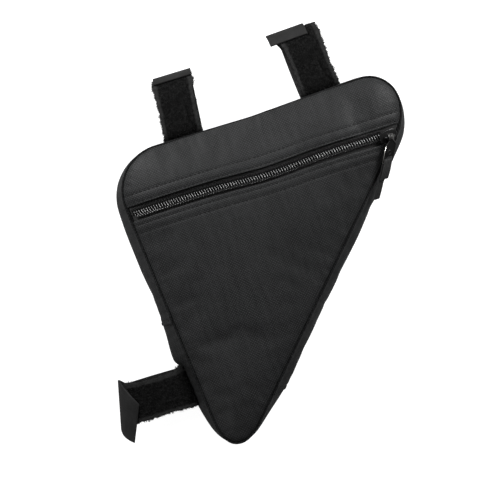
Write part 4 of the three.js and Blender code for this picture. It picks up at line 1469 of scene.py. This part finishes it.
def ribbon_place(length, across):
    """The leg that runs under and beyond the other is narrower and hangs to one side."""
    y, z = ribbon_route.at(length)
    under = np.clip((y - UNDER_LEG_FROM) / UNDER_LEG_OVER, 0, 1) * (z < 0)
    x, y = skewed(across * (1 - UNDER_LEG_NARROWER * under) + UNDER_LEG_SHIFT * under, y)
    return Vector((x, y, z))


widths = np.linspace(-RIBBON_HALF, RIBBON_HALF, 9)
bm = tape_bmesh(np.linspace(0, ribbon_route.total, 80), widths, ribbon_place)
bmesh.ops.transform(bm, matrix=PULL_FRAME, verts=bm.verts)
tape_piece("pull_ribbon_woven", bm, WEBBING, RIBBON_THICK, "pull_ribbon", body="pull")

# %% [markdown]
# Each strap is two tapes, closed on each other. The loop tape starts under the gusset's
# middle, makes the near half of the round and ends inside the lap. The hook tape starts on the
# other side, makes the far half and laps over the loop tape, so its smooth back shows as a tab
# at the strap's end. The lap pulls sideways, as the photo shows. On the lower strap it also
# spreads and is folded over on the skew, so its end is a slanting tab.

# %% Straps
STRAP_WIDTH = 25.0
STRAP_HALF = STRAP_WIDTH / 2
MIDDLE_Z = 24.65
STRAP_BASE, STRAP_BELLY, LOOP_TAPE, HOOK_TAPE, LAP_GAP, TUCK = 10.0, 13.5, 2.0, 1.2, 0.4, 12.0
FROM_GUSSET = 0.3
FLARE_AT, FLARE_OVER = 11.5, 4.0
DRIFT_FROM, SPREAD_FROM = 0.62, 0.66
LOWER_TAB_END = Vector((32.65, -2.0, 12.6)), Vector((44.8, 19.4, 10.2))
FOLD_CORNER = Vector((2.0, 4.5, 0))
# Each strap sits between two corners of the outline, at a share of the way. Lean is in degrees,
# tilt, flare and spread widen the lower strap on one side, and the rest is in millimetres.
TOP_LEFT, TOP_MIDDLE, TOP_RIGHT, APEX = (-92.6, 94.2), (1.4, 93.2), (94.0, 96.7), (-74.2, -116.2)
PLAIN = {"flip": 1, "tilt": 0, "flare": 0, "spread": 0}
STRAPS = {
    "strap_rear": {
        **PLAIN, "a": TOP_LEFT, "b": TOP_MIDDLE, "along": 0.5375, "lean": 5, "reach": 39.5, "lap": 8.5,
        "drift": 0.5,
    },
    "strap_front": {
        **PLAIN, "a": TOP_MIDDLE, "b": TOP_RIGHT, "along": 0.522, "lean": -2, "reach": 43.5, "lap": 12,
        "drift": -7,
    },
    "strap_lower": {
        "a": TOP_LEFT, "b": APEX, "along": 0.7153, "flip": -1, "lean": -6, "reach": 43, "lap": 18,
        "drift": -1.75, "tilt": 0.09, "flare": 3.0, "spread": 0.19,
    },
}


def strap_route(reach, bulge):
    """The round that a strap makes: out from the gusset, and up and down through its depth."""
    def seat(up):
        return FROM_GUSSET + LOOP_TAPE / 2 - bulge * (up / (GUSSET_DEPTH / 2)) ** 2

    half = [(seat(STRAP_BASE / 2), STRAP_BASE / 2), (seat(STRAP_BASE) + 0.2, STRAP_BASE)]
    for share, height in ((0.1, 0.96), (0.3, 1), (0.58, 0.95), (0.8, 0.74), (0.94, 0.42)):
        half.append((reach * share, STRAP_BELLY * height))
    back = [(out, -up) for out, up in reversed(half)]
    return Route(smooth_line([(seat(0), 0), *half, (reach, 0), *back], closed=True))


class Strap:
    """One closed strap, and where a place on either of its two tapes lies."""

    def __init__(self, name):
        self.name = name
        self.sizes = STRAPS[name]
        a, b = np.array(self.sizes["a"]), np.array(self.sizes["b"])
        self.sideways = (b - a) / np.linalg.norm(b - a)
        self.out = np.array([-self.sideways[1], self.sideways[0]]) * self.sizes["flip"]
        foot = a + (b - a) * self.sizes["along"]
        bulge = ask_seam([foot])[2][0]
        self.seat = foot + self.out * bulge
        self.route = strap_route(self.sizes["reach"], bulge)
        self.half = self.route.total / 2
        self.turn = self.half / (self.half + self.sizes["lap"])
        self.begin, self.end = self.route.total - 0.55, self.half - self.sizes["lap"]
        self.seed = len(name) * 3.1

    def wave(self, length, across, offset=0.0):
        return noise.noise(Vector((length, across, self.seed + offset)))

    def spot(self, length, across, lift, shift):
        """Reach, slide and height on the round. A tilted round reaches further on one side."""
        reach, depth = self.route.at(length % self.route.total)
        way = self.route.towards(length % self.route.total)
        outer = ease(reach / self.sizes["reach"])
        reach, depth = reach - way[1] * lift, depth + way[0] * lift
        reach *= 1 + self.sizes["tilt"] * outer * across / STRAP_HALF
        slide = across + shift + reach * math.tan(math.radians(self.sizes["lean"]))
        return Vector((reach, slide, depth))

    def point(self, spot):
        place = self.seat + self.out * spot.x + self.sideways * spot.y
        return Vector((place[0], place[1], MIDDLE_Z + spot.z))

    def loop_place(self, length, across, lift=0.0):
        """The loop tape: its edges are worn and wavy, and its pile is uneven."""
        near_edge = max(0, abs(across) / STRAP_HALF - 0.6) * 2.5
        wear = self.wave(length * 0.45, across * 0.2) + 0.6 * self.wave(length * 1.3, across * 0.2)
        bulge = bell(length - self.half + 11, 3.5) - 0.5 * bell(length - self.half * 0.45, 12)
        flare = self.sizes["flare"] * bell(length - FLARE_AT, FLARE_OVER) * (across < 0)
        wider = (0.75 * wear + bulge + flare) * near_edge * math.copysign(1, across)
        pile = 0.34 * self.wave(length * 0.75, across * 0.75, 3) if abs(across) < 10 else 0
        return self.point(self.spot(length, across + wider, lift + pile, 0))

    def hook_place(self, share, across):
        """The hook tape: round the far half, then over the loop tape as the lap."""
        lift = (LOOP_TAPE / 2 + LAP_GAP + HOOK_TAPE / 2) * ease((share - 0.12) / 0.3)
        shift = self.sizes["drift"] * ease((share - DRIFT_FROM) / (self.turn - DRIFT_FROM))
        across *= 1 + self.sizes["spread"] * ease((share - SPREAD_FROM) / (self.turn - SPREAD_FROM))
        if self.name != "strap_lower" or share < self.turn:
            length = self.begin + (self.end - self.begin) * share
            return self.point(self.spot(length, across, lift, shift))
        fold = self.spot(self.half, across, lift, shift)
        share_across = across / (1 + self.sizes["spread"]) / STRAP_WIDTH + 0.5
        finish = LOWER_TAB_END[0].lerp(LOWER_TAB_END[1], share_across)
        bend = fold.lerp(finish, 0.1) + FOLD_CORNER * share_across**3
        bend.z = 0.3 + finish.z * 0.9
        t = (share - self.turn) / (1 - self.turn)
        return self.point(fold.lerp(bend, t).lerp(bend.lerp(finish, t), t))


chance = np.random.default_rng(11)


def pile_curls(strap, edge_count=900, face_count=900):
    """Short bent fibres that stand out of the felt, half of them along its two edges."""
    felt = LOOP_TAPE / 2
    lines = []
    for i in range(edge_count + face_count):
        length = chance.uniform(3, strap.half + 2)
        turn = chance.uniform(-1, 1) * 0.9
        if i < edge_count:
            side = 1 if i % 2 else -1
            start, out = side * chance.uniform(11.6, 12.6), side * chance.uniform(0.25, 1.15)
            lift = chance.uniform(-1, 1)
            line = (
                (0, 0, lift), (turn * 0.5, out * 0.8, lift + 0.15), (turn, out, lift - 0.05),
                (turn * 1.4, out * 0.35, lift - 0.2),
            )
        else:
            start, out = chance.uniform(-11.5, 11.5), chance.uniform(-0.7, 0.7)
            high = felt + chance.uniform(0.25, 0.6)
            line = (
                (0, 0, felt - 0.3), (turn * 0.4, out * 0.3, high), (turn, out, high),
                (turn * 1.2, out * 1.3, felt - 0.3),
            )
        lines.append([strap.loop_place(length + along, start + across, lift) for along, across, lift in line])
    return lines


for name in STRAPS:
    strap = Strap(name)
    lengths = np.linspace(0.15, strap.half + TUCK, 90)
    bm = tape_bmesh(lengths, np.linspace(-STRAP_HALF, STRAP_HALF, 27), strap.loop_place)
    tape_piece(f"{name}_loop_felt", bm, LOOP_PILE, LOOP_TAPE, f"{name}_loop_tape", edge=0.5)
    fuzz = tube(f"{name}_curls", pile_curls(strap), 0.055, 0)
    make_piece(f"{name}_loop_fuzz", fuzz, PILE_FIBRE)
    bm = tape_bmesh(np.linspace(0, 1, 100), np.linspace(-STRAP_HALF, STRAP_HALF, 15), strap.hook_place)
    uv = bm.loops.layers.uv["cloth"]
    for loop in (loop for face in bm.faces for loop in face.loops):
        loop[uv].uv.x *= strap.half + strap.sizes["lap"]
    tape_piece(f"{name}_hook_back", bm, HOOK_BACK, HOOK_TAPE, f"{name}_hook_tape", edge=0.3)
